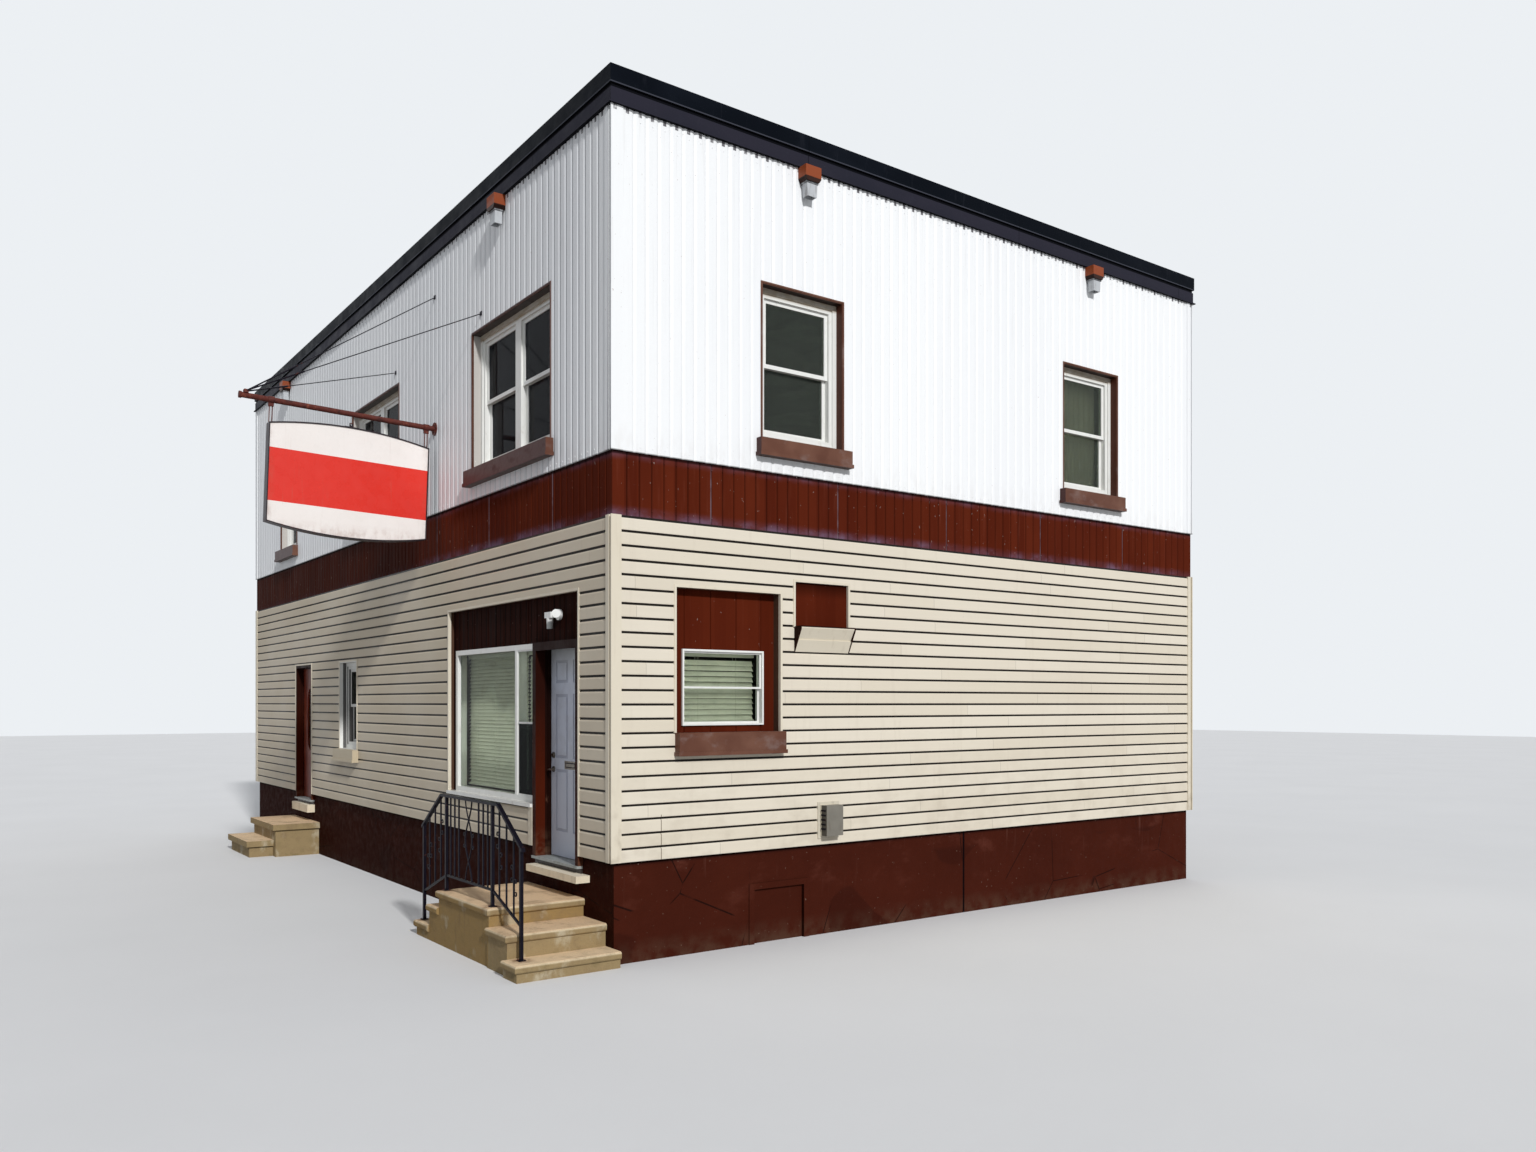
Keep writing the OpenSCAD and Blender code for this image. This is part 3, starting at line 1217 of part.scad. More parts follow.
module sign_bracket() color([0.4, 0.2, 0.16]) {
    place() translate([-sign_s, 0, pipe_z]) rotate([90, 0, 0]) cylinder(r = 75, h = 12);
    at_sign() {
        translate([0, -5, 0]) rotate([90, 0, 0]) cylinder(r = pipe_r, h = pipe_l - 5);
        translate([0, -pipe_l + 26, 0]) rotate([90, 0, 0]) cylinder(r = pipe_cap_r, h = 26);
        end_plate();
        for (p = [sign_gap + hanger_in, sign_gap + sign_w - hanger_in]) translate([0, -p, 0]) {
            rotate([90, 0, 0]) translate([0, 0, -30]) cylinder(r = pipe_r + 8, h = 60);
            for (k = [-1, 1]) {
                u = abs(p - k * hanger_gap / 2 - sign_gap - sign_w / 2) - hanger_side / 2;
                translate([0, k * hanger_gap / 2, rod_foot(u)])
                    cylinder(r = hanger_side / 2, h = -rod_foot(u));
            }
            translate([-14, -hanger_gap / 2 - 12, -pipe_r - 40]) cube([28, hanger_gap + 24, 34]);
        }
    }
}
// Wall anchors of the guy rods: [from the near corner, height]
anchors = [[sign_s, pipe_z + guy_mid_rise, 0],
    [sign_s - guy_spread, pipe_z + guy_side_rise, 20],
    [sign_s + guy_spread, pipe_z + guy_side_rise, -20]];
module rod(a, b, r) {
    v = b - a;
    translate(a) rotate([0, acos(v[2] / norm(v)), atan2(v[1], v[0])]) cylinder(r = r, h = norm(v));
}
module sign_guys() color(dark) for (g = anchors) {
    tip = [-sign_s + g[2], -(pipe_l - 70) * cos(pipe_rise),
        pipe_z + (pipe_l - 70) * sin(pipe_rise) + pipe_r + 16];
    wall = [-g[0], 0, g[1]];
    v = (wall - tip) / norm(wall - tip);
    difference() {
        place() {
            rod(tip, wall, guy_r);
            rod(tip, tip + v * 430, guy_r + 3);
            rod(tip + v * 430, tip + v * 640, turnbuckle_r);
            translate([wall[0] - 22, -8, wall[2] - 22]) cube([44, 8, 44]);
        }
        at_sign() end_plate();
        place() translate([wall[0] - 100, 0, wall[2] - 100]) cube([200, 200, 200]);
    }
}

// node to draw, or all
front_foundation();
right_foundation();
back_foundation();
left_foundation();
basement_hatch();
ground_floor();
second_floor();
roof_deck();
roof_parapet();
front_corner_pier();
shop_window_apron();
front_middle_wall();
front_left_wall();
front_lintels();
right_lower_wall();
back_lower_wall();
left_lower_wall();
front_upper_wall();
right_upper_wall();
back_upper_wall();
left_upper_wall();
lap_siding();
siding_corner_posts();
siding_trims();
brown_band();
upper_cladding();
upper_corner_trims();
window_edges();
lower_fascia();
fascia_cap();
roof_scuppers();
scupper_spouts();
upper_window_frames();
upper_window_glass();
lower_window_frames();
lower_window_glass();
window_sills();
shop_window_frame();
infill_panels();
vent_skirt();
meter_box();
door_casings();
door_sills();
shop_door();
shop_door_handle();
side_door();
side_door_glass();
entrance_steps();
side_door_steps();
door_thresholds();
entrance_railing();
floodlight();
sign_cabinet();
sign_faces();
sign_bracket();
sign_guys();
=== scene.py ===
import math
import random

import bmesh
import bpy
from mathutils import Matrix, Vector

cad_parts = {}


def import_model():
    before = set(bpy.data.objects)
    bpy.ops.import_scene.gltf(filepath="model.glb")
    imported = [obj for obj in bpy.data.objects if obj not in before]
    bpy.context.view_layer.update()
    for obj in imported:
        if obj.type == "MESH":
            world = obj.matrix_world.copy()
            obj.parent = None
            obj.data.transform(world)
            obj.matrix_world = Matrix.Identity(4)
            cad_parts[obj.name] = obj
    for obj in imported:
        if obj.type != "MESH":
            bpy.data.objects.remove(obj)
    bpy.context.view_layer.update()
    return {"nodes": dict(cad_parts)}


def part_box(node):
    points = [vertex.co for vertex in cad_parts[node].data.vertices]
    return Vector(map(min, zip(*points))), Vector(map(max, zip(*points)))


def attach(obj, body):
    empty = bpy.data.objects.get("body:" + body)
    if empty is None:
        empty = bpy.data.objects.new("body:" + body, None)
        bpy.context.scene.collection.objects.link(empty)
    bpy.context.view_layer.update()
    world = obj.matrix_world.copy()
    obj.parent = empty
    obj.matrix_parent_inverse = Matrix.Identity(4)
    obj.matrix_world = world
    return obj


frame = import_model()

NODES = frame["nodes"]

# The near corner of the siding at ground level, in the row frame, and the size of the walls.
POST_PROUD = 0.008
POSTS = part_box("siding_corner_posts")
CORNER = Vector((POSTS[1].x - POST_PROUD, POSTS[0].y + POST_PROUD, 0.0))
FRONT, SIDE = 13.2, 8.58
LAP, RIB, BOARD = 0.127, 0.127, 3.66
# The red band of the sign, from and to, as parts of its height, and the lift of the ends by its slope.
SIGN_BANDS, SIGN_TILT = (0.235, 0.73), 0.03
MID = CORNER + Vector((-FRONT / 2, SIDE / 2, 0))
FOUNDATION, SIDING_TOP, BAND_TOP, CLADDING_TOP = 0.90, 3.948, 4.510, 7.520
UPPER_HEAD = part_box("upper_window_frames")[1].z
# The meeting rail of the narrow window beside the shop door.
SASH_RAIL = 2.10
# Foot of the scupper boxes, top of their dark lower part, foot of the dark collar of the pipe stubs.
SCUPPERS, HOPPER_TOP, COLLAR_FOOT = 7.15, 7.412, 7.353
# The fascia: the sunk line between strip and cap, which is painted black as shade, and the top of the painted
# highlight along the cap's hem.
SUNK_LINE, CAP_FOOT, CAP_HEM = 7.664, 7.70, 7.712
# Curtains behind the upper windows: foot, rod and distance behind the wall's face.
CURTAIN_FOOT, CURTAIN_ROD, CURTAIN_BACK = 4.90, 6.26, 0.285
# Left of LOW_WINDOW the front has its low window, left of SHOP_PANEL the ribbed panel over the shop.
LOW_WINDOW, SHOP_PANEL = CORNER.x - 5.0, CORNER.x - 0.5
# Where the band's front loses its bloom and is painted darker as shade, from the right.
BAND_FADE, BAND_SHADE = (CORNER.x - 3.8, CORNER.x - 5.2), (CORNER.x - 3.8, CORNER.x - 5.6)
# Across the front between these: the risers of the entrance.
STAIR = (CORNER.x - 3.0, CORNER.x - 0.60)
# On the side street: the cut in the lowest laps and the joint in the foundation.
LAP_CUT, WALL_JOINT = CORNER.y + 0.50, CORNER.y + 4.38
# The sign's wall plate: middle, and radius of its ring of bolts.
WALL_PLATE, BOLT_RING = (FRONT - 4.275, 5.50), 0.054
# The band's sheet stands back from the cladding.
BAND_BACK = 0.012
# The railing's feet, from the near corner: two on the landing, two on the lowest treads.
FEET = [(-1.240 + s * d, -0.80, z) for s in (-1, 1) for d, z in ((0.547, 0.514), (1.148, 0.146))]


def at(face, x, out, z):
    """A point on face 0 front, 1 right, 2 back, 3 left: x from its left end, out of the wall, z up."""
    p = {0: (-FRONT + x, -out), 1: (out, x), 2: (-x, SIDE + out), 3: (-FRONT - out, SIDE - x)}[face]
    return CORNER + Vector((p[0], p[1], z))


def srgb(r, g, b):
    """A colour written in 8-bit sRGB as the scene's linear values."""
    return tuple(((c / 255 + 0.055) / 1.055) ** 2.4 if c > 10 else c / 3295 for c in (r, g, b))


# ---------------------------------------------------------------- materials

class Mat:
    """A node material that reads the object's own coordinates, in metres."""

    def __init__(self, name, rough=0.5, metal=0.0, spec=0.35, **sockets):
        self.mat = bpy.data.materials.new(name)
        self.mat.use_nodes = True
        self.tree = self.mat.node_tree
        self.shader = self.tree.nodes["Principled BSDF"]
        self.shader.inputs["Roughness"].default_value = rough
        self.shader.inputs["Metallic"].default_value = metal
        self.shader.inputs["Specular IOR Level"].default_value = spec
        for key, value in sockets.items():
            self.shader.inputs[key.replace("_", " ")].default_value = value
        self.pos = self.add("TexCoord").outputs["Object"]
        self.x, self.y, self.z = self.add("SeparateXYZ", self.pos).outputs
        self.normal = None

    def add(self, kind, *values, **props):
        node = self.tree.nodes.new("ShaderNode" + kind)
        for key, value in props.items():
            setattr(node, key, value)
        for i, value in enumerate(values):
            if value is not None:
                self.put(node.inputs[i], value)
        return node

    def put(self, socket, value):
        if isinstance(value, bpy.types.NodeSocket):
            self.tree.links.new(value, socket)
        elif isinstance(value, tuple) and socket.type == "RGBA":
            socket.default_value = (*value, 1)
        else:
            socket.default_value = value

    def math(self, op, *values):
        return self.add("Math", *values, operation=op).outputs[0]

    def above(self, value, limit):
        return self.math("GREATER_THAN", value, limit)

    def below(self, value, limit):
        return self.math("LESS_THAN", value, limit)

    def flip(self, value):
        return self.math("SUBTRACT", 1.0, value)

    def scale(self, k):
        return self.add("VectorMath", self.pos, k, operation="MULTIPLY").outputs[0]

    def noise(self, scale, k=(1, 1, 1), detail=4, rough=0.55):
        return self.add("TexNoise", self.scale(k), None, scale, detail, rough).outputs[0]

    def ramp(self, value, a, b, lo=0.0, hi=1.0, kind="SMOOTHSTEP"):
        return self.add("MapRange", value, a, b, lo, hi, interpolation_type=kind).outputs[0]

    def linear(self, value, a, b, lo=0.0, hi=1.0):
        return self.ramp(value, a, b, lo, hi, "LINEAR")

    def mul(self, a, b):
        return self.math("MULTIPLY", a, b)

    def either(self, a, b):
        return self.math("MAXIMUM", a, b)

    def mix(self, fac, a, b):
        node = self.add("Mix", data_type="RGBA")
        for i, value in ((0, fac), (6, a), (7, b)):
            self.put(node.inputs[i], value)
        return node.outputs[2]

    def coat(self, color, mask, share, paint):
        """The paint over the colour, where the mask is 1, to that share."""
        return self.mix(self.mul(mask, share), color, paint)

    def facets(self):
        """x, y and z of the faces' own normals."""
        return self.add("SeparateXYZ", self.add("NewGeometry").outputs["True Normal"]).outputs

    def facing(self):
        """Run along the wall (x on the front and back, y on the sides), the normals, 1 on the sides."""
        n = self.facets()
        side = self.above(self.math("ABSOLUTE", n[0]), 0.6)
        run = self.math("ADD", self.mul(self.y, side), self.mul(self.x, self.flip(side)))
        return run, n, side

    def stripe(self, value, period, width, shift=0.0):
        """1 in a line of that width once every period."""
        v = self.math("WRAP", self.math("ADD", value, shift), period, 0.0)
        return self.below(v, width)

    def cell(self, value, period, shift=0.0):
        """A random number for each period of value."""
        v = self.math("FLOOR", self.math("DIVIDE", self.math("ADD", value, shift), period))
        return self.add("TexWhiteNoise", None, v, noise_dimensions="1D").outputs[0]

    def depth(self):
        """How far a point lies behind the outer face of the walls."""
        a = self.math("SUBTRACT", FRONT / 2, self.math("ABSOLUTE", self.math("SUBTRACT", self.x, MID.x)))
        b = self.math("SUBTRACT", SIDE / 2, self.math("ABSOLUTE", self.math("SUBTRACT", self.y, MID.y)))
        return self.math("MINIMUM", a, b)

    def bump(self, height, distance):
        node = self.add("Bump", 1.0, distance)
        self.put(node.inputs["Height"], height)
        if self.normal is not None:
            self.put(node.inputs["Normal"], self.normal)
        self.normal = node.outputs[0]

    def done(self, color, rough=None):
        self.put(self.shader.inputs["Base Color"], color)
        if rough is not None:
            self.put(self.shader.inputs["Roughness"], rough)
        if self.normal is not None:
            self.put(self.shader.inputs["Normal"], self.normal)
        return self.mat


def use(mat, *nodes):
    """The material on every slot of those CAD nodes."""
    for name in nodes:
        obj = NODES[name]
        if not obj.material_slots:
            obj.data.materials.append(mat)
        for slot in obj.material_slots:
            slot.material = mat


def lap_material():
    """Lap siding: each board its own tone, dirtier near the ground; painted shade, with some dirt, black in
    the step at the top of each board, and painted shade at each board's foot, on the undersides and over the
    front face.
    """
    m = Mat("lap_siding_paint", 0.5, spec=0.2)
    run, n, side = m.facing()
    level = m.math("DIVIDE", m.math("SUBTRACT", m.z, FOUNDATION), LAP)
    row, up = m.math("FLOOR", level), m.math("FRACT", level)
    along = m.math("ADD", run, m.mul(m.cell(row, 1.0, 0.5), BOARD))
    board = m.cell(m.math("ADD", m.mul(row, 7.0), m.math("FLOOR", m.math("DIVIDE", along, BOARD))), 1.0, 0.5)
    color = m.mix(board, srgb(222, 213, 196), srgb(215, 205, 186))
    clouds = m.noise(0.8, (1, 1, 1.6), 5)
    color = m.mix(m.ramp(clouds, 0.42, 0.75, 0, 0.35), color, srgb(208, 197, 180))
    streaks = m.noise(11, (1, 1, 0.10), 4, 0.6)
    color = m.mix(m.ramp(streaks, 0.56, 0.74, 0, 0.14), color, srgb(190, 178, 160))
    low = m.mul(m.linear(m.z, 2.1, 0.9), m.ramp(m.noise(4, (1, 1, 1.4), 5), 0.40, 0.72))
    color = m.coat(color, low, 0.25, srgb(166, 152, 132))
    speck = m.ramp(m.noise(55, (1, 1, 1.4), 3, 0.6), 0.70, 0.73)
    color = m.coat(color, speck, 0.5, srgb(112, 98, 82))
    # Painted shade: each board darker just above its butt, along the lap line.
    foot = m.mul(m.ramp(up, 0.0, 0.12, 1, 0), m.ramp(m.noise(17, (1, 1, 0.8)), 0.35, 0.7, 0.2, 0.9))
    color = m.coat(color, foot, 0.25, srgb(150, 136, 116))
    seam = m.stripe(along, BOARD, 0.004)
    color = m.coat(color, seam, 0.45, srgb(104, 94, 80))
    cut = m.stripe(m.y, 30.0, 0.008, 30.0 - LAP_CUT)
    cut = m.mul(cut, m.mul(side, m.below(m.z, 1.30)))
    color = m.coat(color, cut, 0.8, srgb(84, 66, 48))
    # Painted shade: the front face darker than the side, more so further from the corner.
    front_shade = m.mul(m.flip(side), m.linear(m.x, CORNER.x - 0.4, CORNER.x - 3.0, 0.40, 0.66))
    color = m.mix(front_shade, color, srgb(188, 173, 148))
    # Painted shade, with some dirt: the step under each lap's butt is near black.
    gap = m.ramp(up, 0.832, 0.842)
    color = m.mix(gap, color, srgb(20, 13, 8))
    # Painted shade: undersides nearly black.
    under = m.below(n[2], -0.4)
    color = m.coat(color, under, 0.9, srgb(40, 30, 22))
    m.bump(m.noise(60, (0.12, 0.12, 1), 5, 0.7), 0.0010)
    m.bump(m.noise(2.6, (0.7, 0.7, 0.3), 2), 0.012)
    return m.done(color, m.ramp(clouds, 0.3, 0.7, 0.42, 0.6))


def corner_trim_material():
    """Beige trim: rain streaks, dirtier near the ground."""
    m = Mat("beige_trim_paint", 0.48, spec=0.2)
    color = m.mix(m.noise(2.2, (1, 1, 0.6)), srgb(222, 213, 195), srgb(212, 202, 181))
    streaks = m.noise(14, (1, 1, 0.1), 4, 0.6)
    color = m.mix(m.ramp(streaks, 0.54, 0.72, 0, 0.25), color, srgb(190, 177, 156))
    low = m.mul(m.linear(m.z, 1.7, 0.9), m.ramp(m.noise(9), 0.4, 0.7))
    color = m.coat(color, low, 0.40, srgb(146, 130, 110))
    m.bump(m.noise(30, (1, 1, 0.1)), 0.0012)
    return m.done(color, m.ramp(m.noise(6), 0.3, 0.7, 0.42, 0.58))


def white_ribbed_material():
    """White sheet: nearly clean, with faint rain marks; painted shade greys the front face and its creases,
    the drip edge and a strip by the near corner, and a painted shadow darkens the rib ends at its top.
    """
    m = Mat("white_ribbed_sheet", 0.42, spec=0.2)
    run, _, side = m.facing()
    shade = m.flip(side)
    color = m.mix(m.cell(run, RIB * 7, 50), srgb(242, 243, 243), srgb(238, 239, 240))
    # Painted shade: the front face greyer and bluer than the side.
    color = m.coat(color, shade, 0.16, srgb(168, 172, 182))
    streaks = m.noise(13, (1, 1, 0.05), 5, 0.65)
    color = m.mix(m.ramp(streaks, 0.52, 0.78, 0, 0.16), color, srgb(212, 214, 218))
    rain = m.mul(m.ramp(m.noise(24, (1, 1, 0.03), 3), 0.58, 0.70), m.linear(m.z, 5.4, 7.5, 0.2, 1.0))
    color = m.coat(color, rain, 0.12, srgb(164, 160, 156))
    foot = m.mul(m.linear(m.z, BAND_TOP + 0.30, BAND_TOP), m.ramp(m.noise(12, (1, 1, 0.4)), 0.38, 0.72))
    color = m.coat(color, foot, 0.20, srgb(186, 176, 168))
    # Painted shade in the hollows of the ribs, on the front only.
    crease_shade = m.mul(m.ramp(m.depth(), 0.0075, 0.0108), m.mul(shade, 0.75))
    color = m.mix(crease_shade, color, srgb(120, 122, 130))
    # Painted shadow of the fascia reaching down into each groove at the top of the sheet.
    rib_end = m.stripe(run, RIB, 0.034, RIB * 0.5 + 0.017)
    tick_shadow = m.mul(m.above(m.z, CLADDING_TOP - 0.045), rib_end)
    color = m.mix(m.mul(tick_shadow, m.ramp(m.noise(9), 0.35, 0.5, 0.2, 0.9)), color, srgb(70, 66, 72))
    # Painted shade: a dark strip on the front by the near corner, along the sheet's fold, wider further down.
    reach = m.linear(m.z, CLADDING_TOP, BAND_TOP, 0.010, 0.030)
    from_corner = m.math("ABSOLUTE", m.math("SUBTRACT", m.x, CORNER.x - 0.030))
    fold = m.mul(m.below(from_corner, reach), shade)
    color = m.mix(m.mul(fold, m.mul(m.below(m.y, CORNER.y + 0.1), 0.75)), color, srgb(84, 86, 96))
    # Painted shade in the drip edge at the foot of the sheet.
    drip = m.mul(m.linear(m.z, BAND_TOP + 0.012, BAND_TOP + 0.004), 0.7)
    color = m.mix(drip, color, srgb(60, 52, 50))
    speck = m.ramp(m.noise(48, (1, 1, 0.7), 2), 0.735, 0.755)
    color = m.coat(color, speck, 0.5, srgb(150, 128, 110))
    m.bump(m.noise(2.2, (1, 1, 0.35), 3), 0.010)
    m.bump(m.noise(45, (1, 1, 0.4), 3), 0.0006)
    return m.done(color, m.ramp(streaks, 0.3, 0.7, 0.36, 0.52))


def brown_ribbed_material():
    """Brown sheet: each rib a little different, whitish bloom and seams in the band; painted shade in the
    creases, along the band's top and far along the front.

    The panel over the shop front is darker, with painted shade in its grooves; the vent and niche panels have
    a painted shadow at the top.
    """
    m = Mat("brown_ribbed_sheet", 0.6, spec=0.005)
    run, _, side = m.facing()
    color = m.mix(m.cell(run, RIB, 50), srgb(94, 37, 20), srgb(80, 29, 15))
    color = m.mix(m.ramp(m.noise(0.9, (1, 1, 0.8), 3), 0.35, 0.7, 0, 0.6), color, srgb(72, 25, 15))
    streaks = m.noise(16, (1, 1, 0.08), 5, 0.6)
    color = m.mix(m.ramp(streaks, 0.55, 0.78, 0, 0.24), color, srgb(124, 66, 50))
    inside = m.mul(m.above(m.z, SIDING_TOP - 0.01), m.below(m.z, BAND_TOP + 0.01))
    edge = m.either(m.ramp(m.z, SIDING_TOP + 0.10, SIDING_TOP),
                    m.ramp(m.z, BAND_TOP - 0.09, BAND_TOP, 0, 0.6))
    wash = m.ramp(m.noise(3.2, (1, 1, 1.4), 5, 0.6), 0.40, 0.72)
    bloom = m.mul(m.mul(edge, inside), m.math("ADD", 0.20, wash))
    near = m.either(side, m.linear(m.x, BAND_FADE[1], BAND_FADE[0]))
    color = m.mix(m.mul(bloom, m.mul(near, 0.42)), color, srgb(128, 112, 140))
    # Painted shade: the band's front darker further from the corner.
    front = m.below(m.y, CORNER.y + 0.02)
    far = m.mul(front, m.linear(m.x, *BAND_SHADE, 0.12, 0.62))
    color = m.mix(m.mul(far, inside), color, srgb(26, 17, 14))
    worn = m.ramp(m.noise(5, (1, 1, 1.5)), 0.3, 0.6, 0.2, 0.7)
    seam = m.mul(m.stripe(run, RIB * 12, 0.020, 0.71), m.mul(inside, worn))
    color = m.mix(m.mul(seam, m.mul(near, 0.7)), color, srgb(150, 136, 146))
    # Painted shade in the creases of the ribs, stronger on the front.
    crease_shade = m.ramp(m.depth(), 0.016, 0.0225)
    crease_shade = m.mul(m.mul(crease_shade, inside), m.linear(side, 0.0, 1.0, 0.8, 0.5))
    color = m.mix(crease_shade, color, srgb(22, 8, 5))
    # Painted shadow along the band's top, under the white sheet's drip edge.
    top_edge_shadow = m.mul(inside, m.ramp(m.z, BAND_TOP - 0.034, BAND_TOP - 0.018, 0, 0.85))
    color = m.mix(top_edge_shadow, color, srgb(20, 9, 7))
    low = m.below(m.z, SIDING_TOP - 0.02)
    color = m.coat(color, low, 0.30, srgb(70, 22, 8))
    shop = m.mul(low, m.below(m.x, SHOP_PANEL))
    color = m.coat(color, shop, 0.86, srgb(27, 15, 12))
    # Painted shade: near-black lines in the grooves of the panel over the shop.
    groove = m.mul(m.stripe(m.x, RIB, 0.020, 40.0 - CORNER.x), m.ramp(m.noise(3), 0.3, 0.5, 0.4, 1.0))
    color = m.mix(m.mul(groove, m.mul(shop, 0.8)), color, srgb(6, 4, 4))
    under_band = m.linear(m.z, 3.33, 3.47)
    color = m.mix(m.mul(under_band, m.mul(low, m.mul(side, 0.75))), color, srgb(20, 7, 4))
    chips = m.ramp(m.noise(34, (1, 1, 0.6), 3), 0.71, 0.735)
    color = m.coat(color, chips, 0.4, srgb(186, 172, 164))
    m.bump(m.noise(2.4, (1, 1, 0.4), 3), 0.012)
    m.bump(m.noise(60, (1, 1, 0.4), 3), 0.0007)
    return m.done(color, m.ramp(streaks, 0.3, 0.7, 0.42, 0.6))


def brown_box_material():
    """Bent brown sheet of the sills, edge strips and scupper boxes, faded where the sun reaches it.

    The front low sill is painted like the siding, the reveals of the front upper windows are pale; painted
    shade darkens the edge strips at the upper windows' heads, the proud faces that look to the front in the
    upper storey, and all undersides.
    """
    m = Mat("brown_sheet", 0.5, spec=0.15)
    n = m.facets()
    color = m.mix(m.noise(1.6, (1, 1, 2)), srgb(106, 69, 54), srgb(82, 49, 38))
    fade = m.ramp(m.noise(2.3, detail=3), 0.40, 0.66)
    color = m.coat(color, fade, 0.5, srgb(124, 88, 72))
    grey = m.ramp(m.noise(3.6, (1, 1, 1.5), 5, 0.6), 0.52, 0.72)
    color = m.coat(color, grey, 0.45, srgb(130, 114, 110))
    low = m.mul(m.below(m.z, SIDING_TOP), m.below(m.y, CORNER.y + 0.3))
    color = m.mix(m.mul(low, m.below(m.x, LOW_WINDOW)), color, srgb(190, 176, 150))
    high = m.above(m.z, SCUPPERS)
    color = m.coat(color, high, 0.9, srgb(142, 68, 36))
    hopper = m.mul(m.below(m.z, HOPPER_TOP), high)
    color = m.coat(color, hopper, 0.92, srgb(20, 11, 8))
    strip = m.mul(m.above(m.depth(), 0.0), m.below(m.z, SCUPPERS))
    color = m.coat(color, strip, 0.75, srgb(70, 34, 22))
    front = m.mul(m.below(m.y, CORNER.y + 0.26), m.above(m.depth(), 0.014))
    storey = m.mul(m.above(m.z, BAND_TOP), m.below(m.z, SCUPPERS))
    reveal = m.mul(front, storey)
    color = m.coat(color, reveal, 0.92, srgb(196, 192, 186))
    # Painted shadow: the edge strips nearly black at the heads of the upper windows.
    head = m.above(m.z, UPPER_HEAD - 0.01)
    color = m.coat(color, m.mul(strip, head), 0.8, srgb(24, 13, 10))
    # Painted shade on the proud faces that look to the front in the upper storey.
    shade = m.mul(m.below(n[1], -0.5), storey)
    color = m.mix(m.mul(shade, m.below(m.depth(), 0.0)), color, srgb(72, 46, 44))
    # Painted shade: undersides dark.
    down = m.below(n[2], -0.5)
    color = m.coat(color, down, 0.7, srgb(30, 15, 11))
    m.bump(m.noise(9, detail=3), 0.004)
    return m.done(color, m.ramp(grey, 0, 1, 0.42, 0.62))


def fascia_material():
    """Charcoal sheet: a blue-black cap over a warmer strip, with painted shade black in the sunk line between
    them and on the undersides, and a painted highlight along the cap's hem.
    """
    m = Mat("charcoal_sheet", 0.5, spec=0.02)
    run, n, _ = m.facing()
    upper = m.above(m.z, CAP_FOOT)
    color = m.mix(upper, srgb(44, 43, 53), srgb(9, 13, 20))
    color = m.mix(m.ramp(m.noise(0.8, (1, 1, 2.5)), 0.4, 0.7, 0, 0.30), color, srgb(28, 33, 42))
    streaks = m.noise(12, (1, 1, 0.25), 4, 0.6)
    color = m.mix(m.ramp(streaks, 0.58, 0.78, 0, 0.10), color, srgb(74, 76, 86))
    # Painted highlight: a lighter line along the cap's hem.
    hem = m.mul(upper, m.below(m.z, CAP_HEM))
    color = m.coat(color, hem, 0.5, srgb(86, 88, 98))
    # Painted shade: the sunk line between cap and strip is painted black, together with the real joints of
    # the strip.
    gap = m.mul(m.above(m.z, SUNK_LINE), m.below(m.z, CAP_FOOT))
    seam = m.either(m.stripe(run, 3.05, 0.006, 1.1), gap)
    color = m.coat(color, seam, 0.9, srgb(5, 6, 9))
    # Painted shade: undersides nearly black.
    down = m.below(n[2], -0.5)
    color = m.coat(color, down, 0.9, srgb(10, 11, 14))
    m.bump(m.noise(1.8, (1, 1, 2), 3), 0.010)
    m.bump(m.noise(80, detail=2), 0.0005)
    return m.done(color, m.ramp(m.noise(5), 0.3, 0.7, 0.34, 0.5))


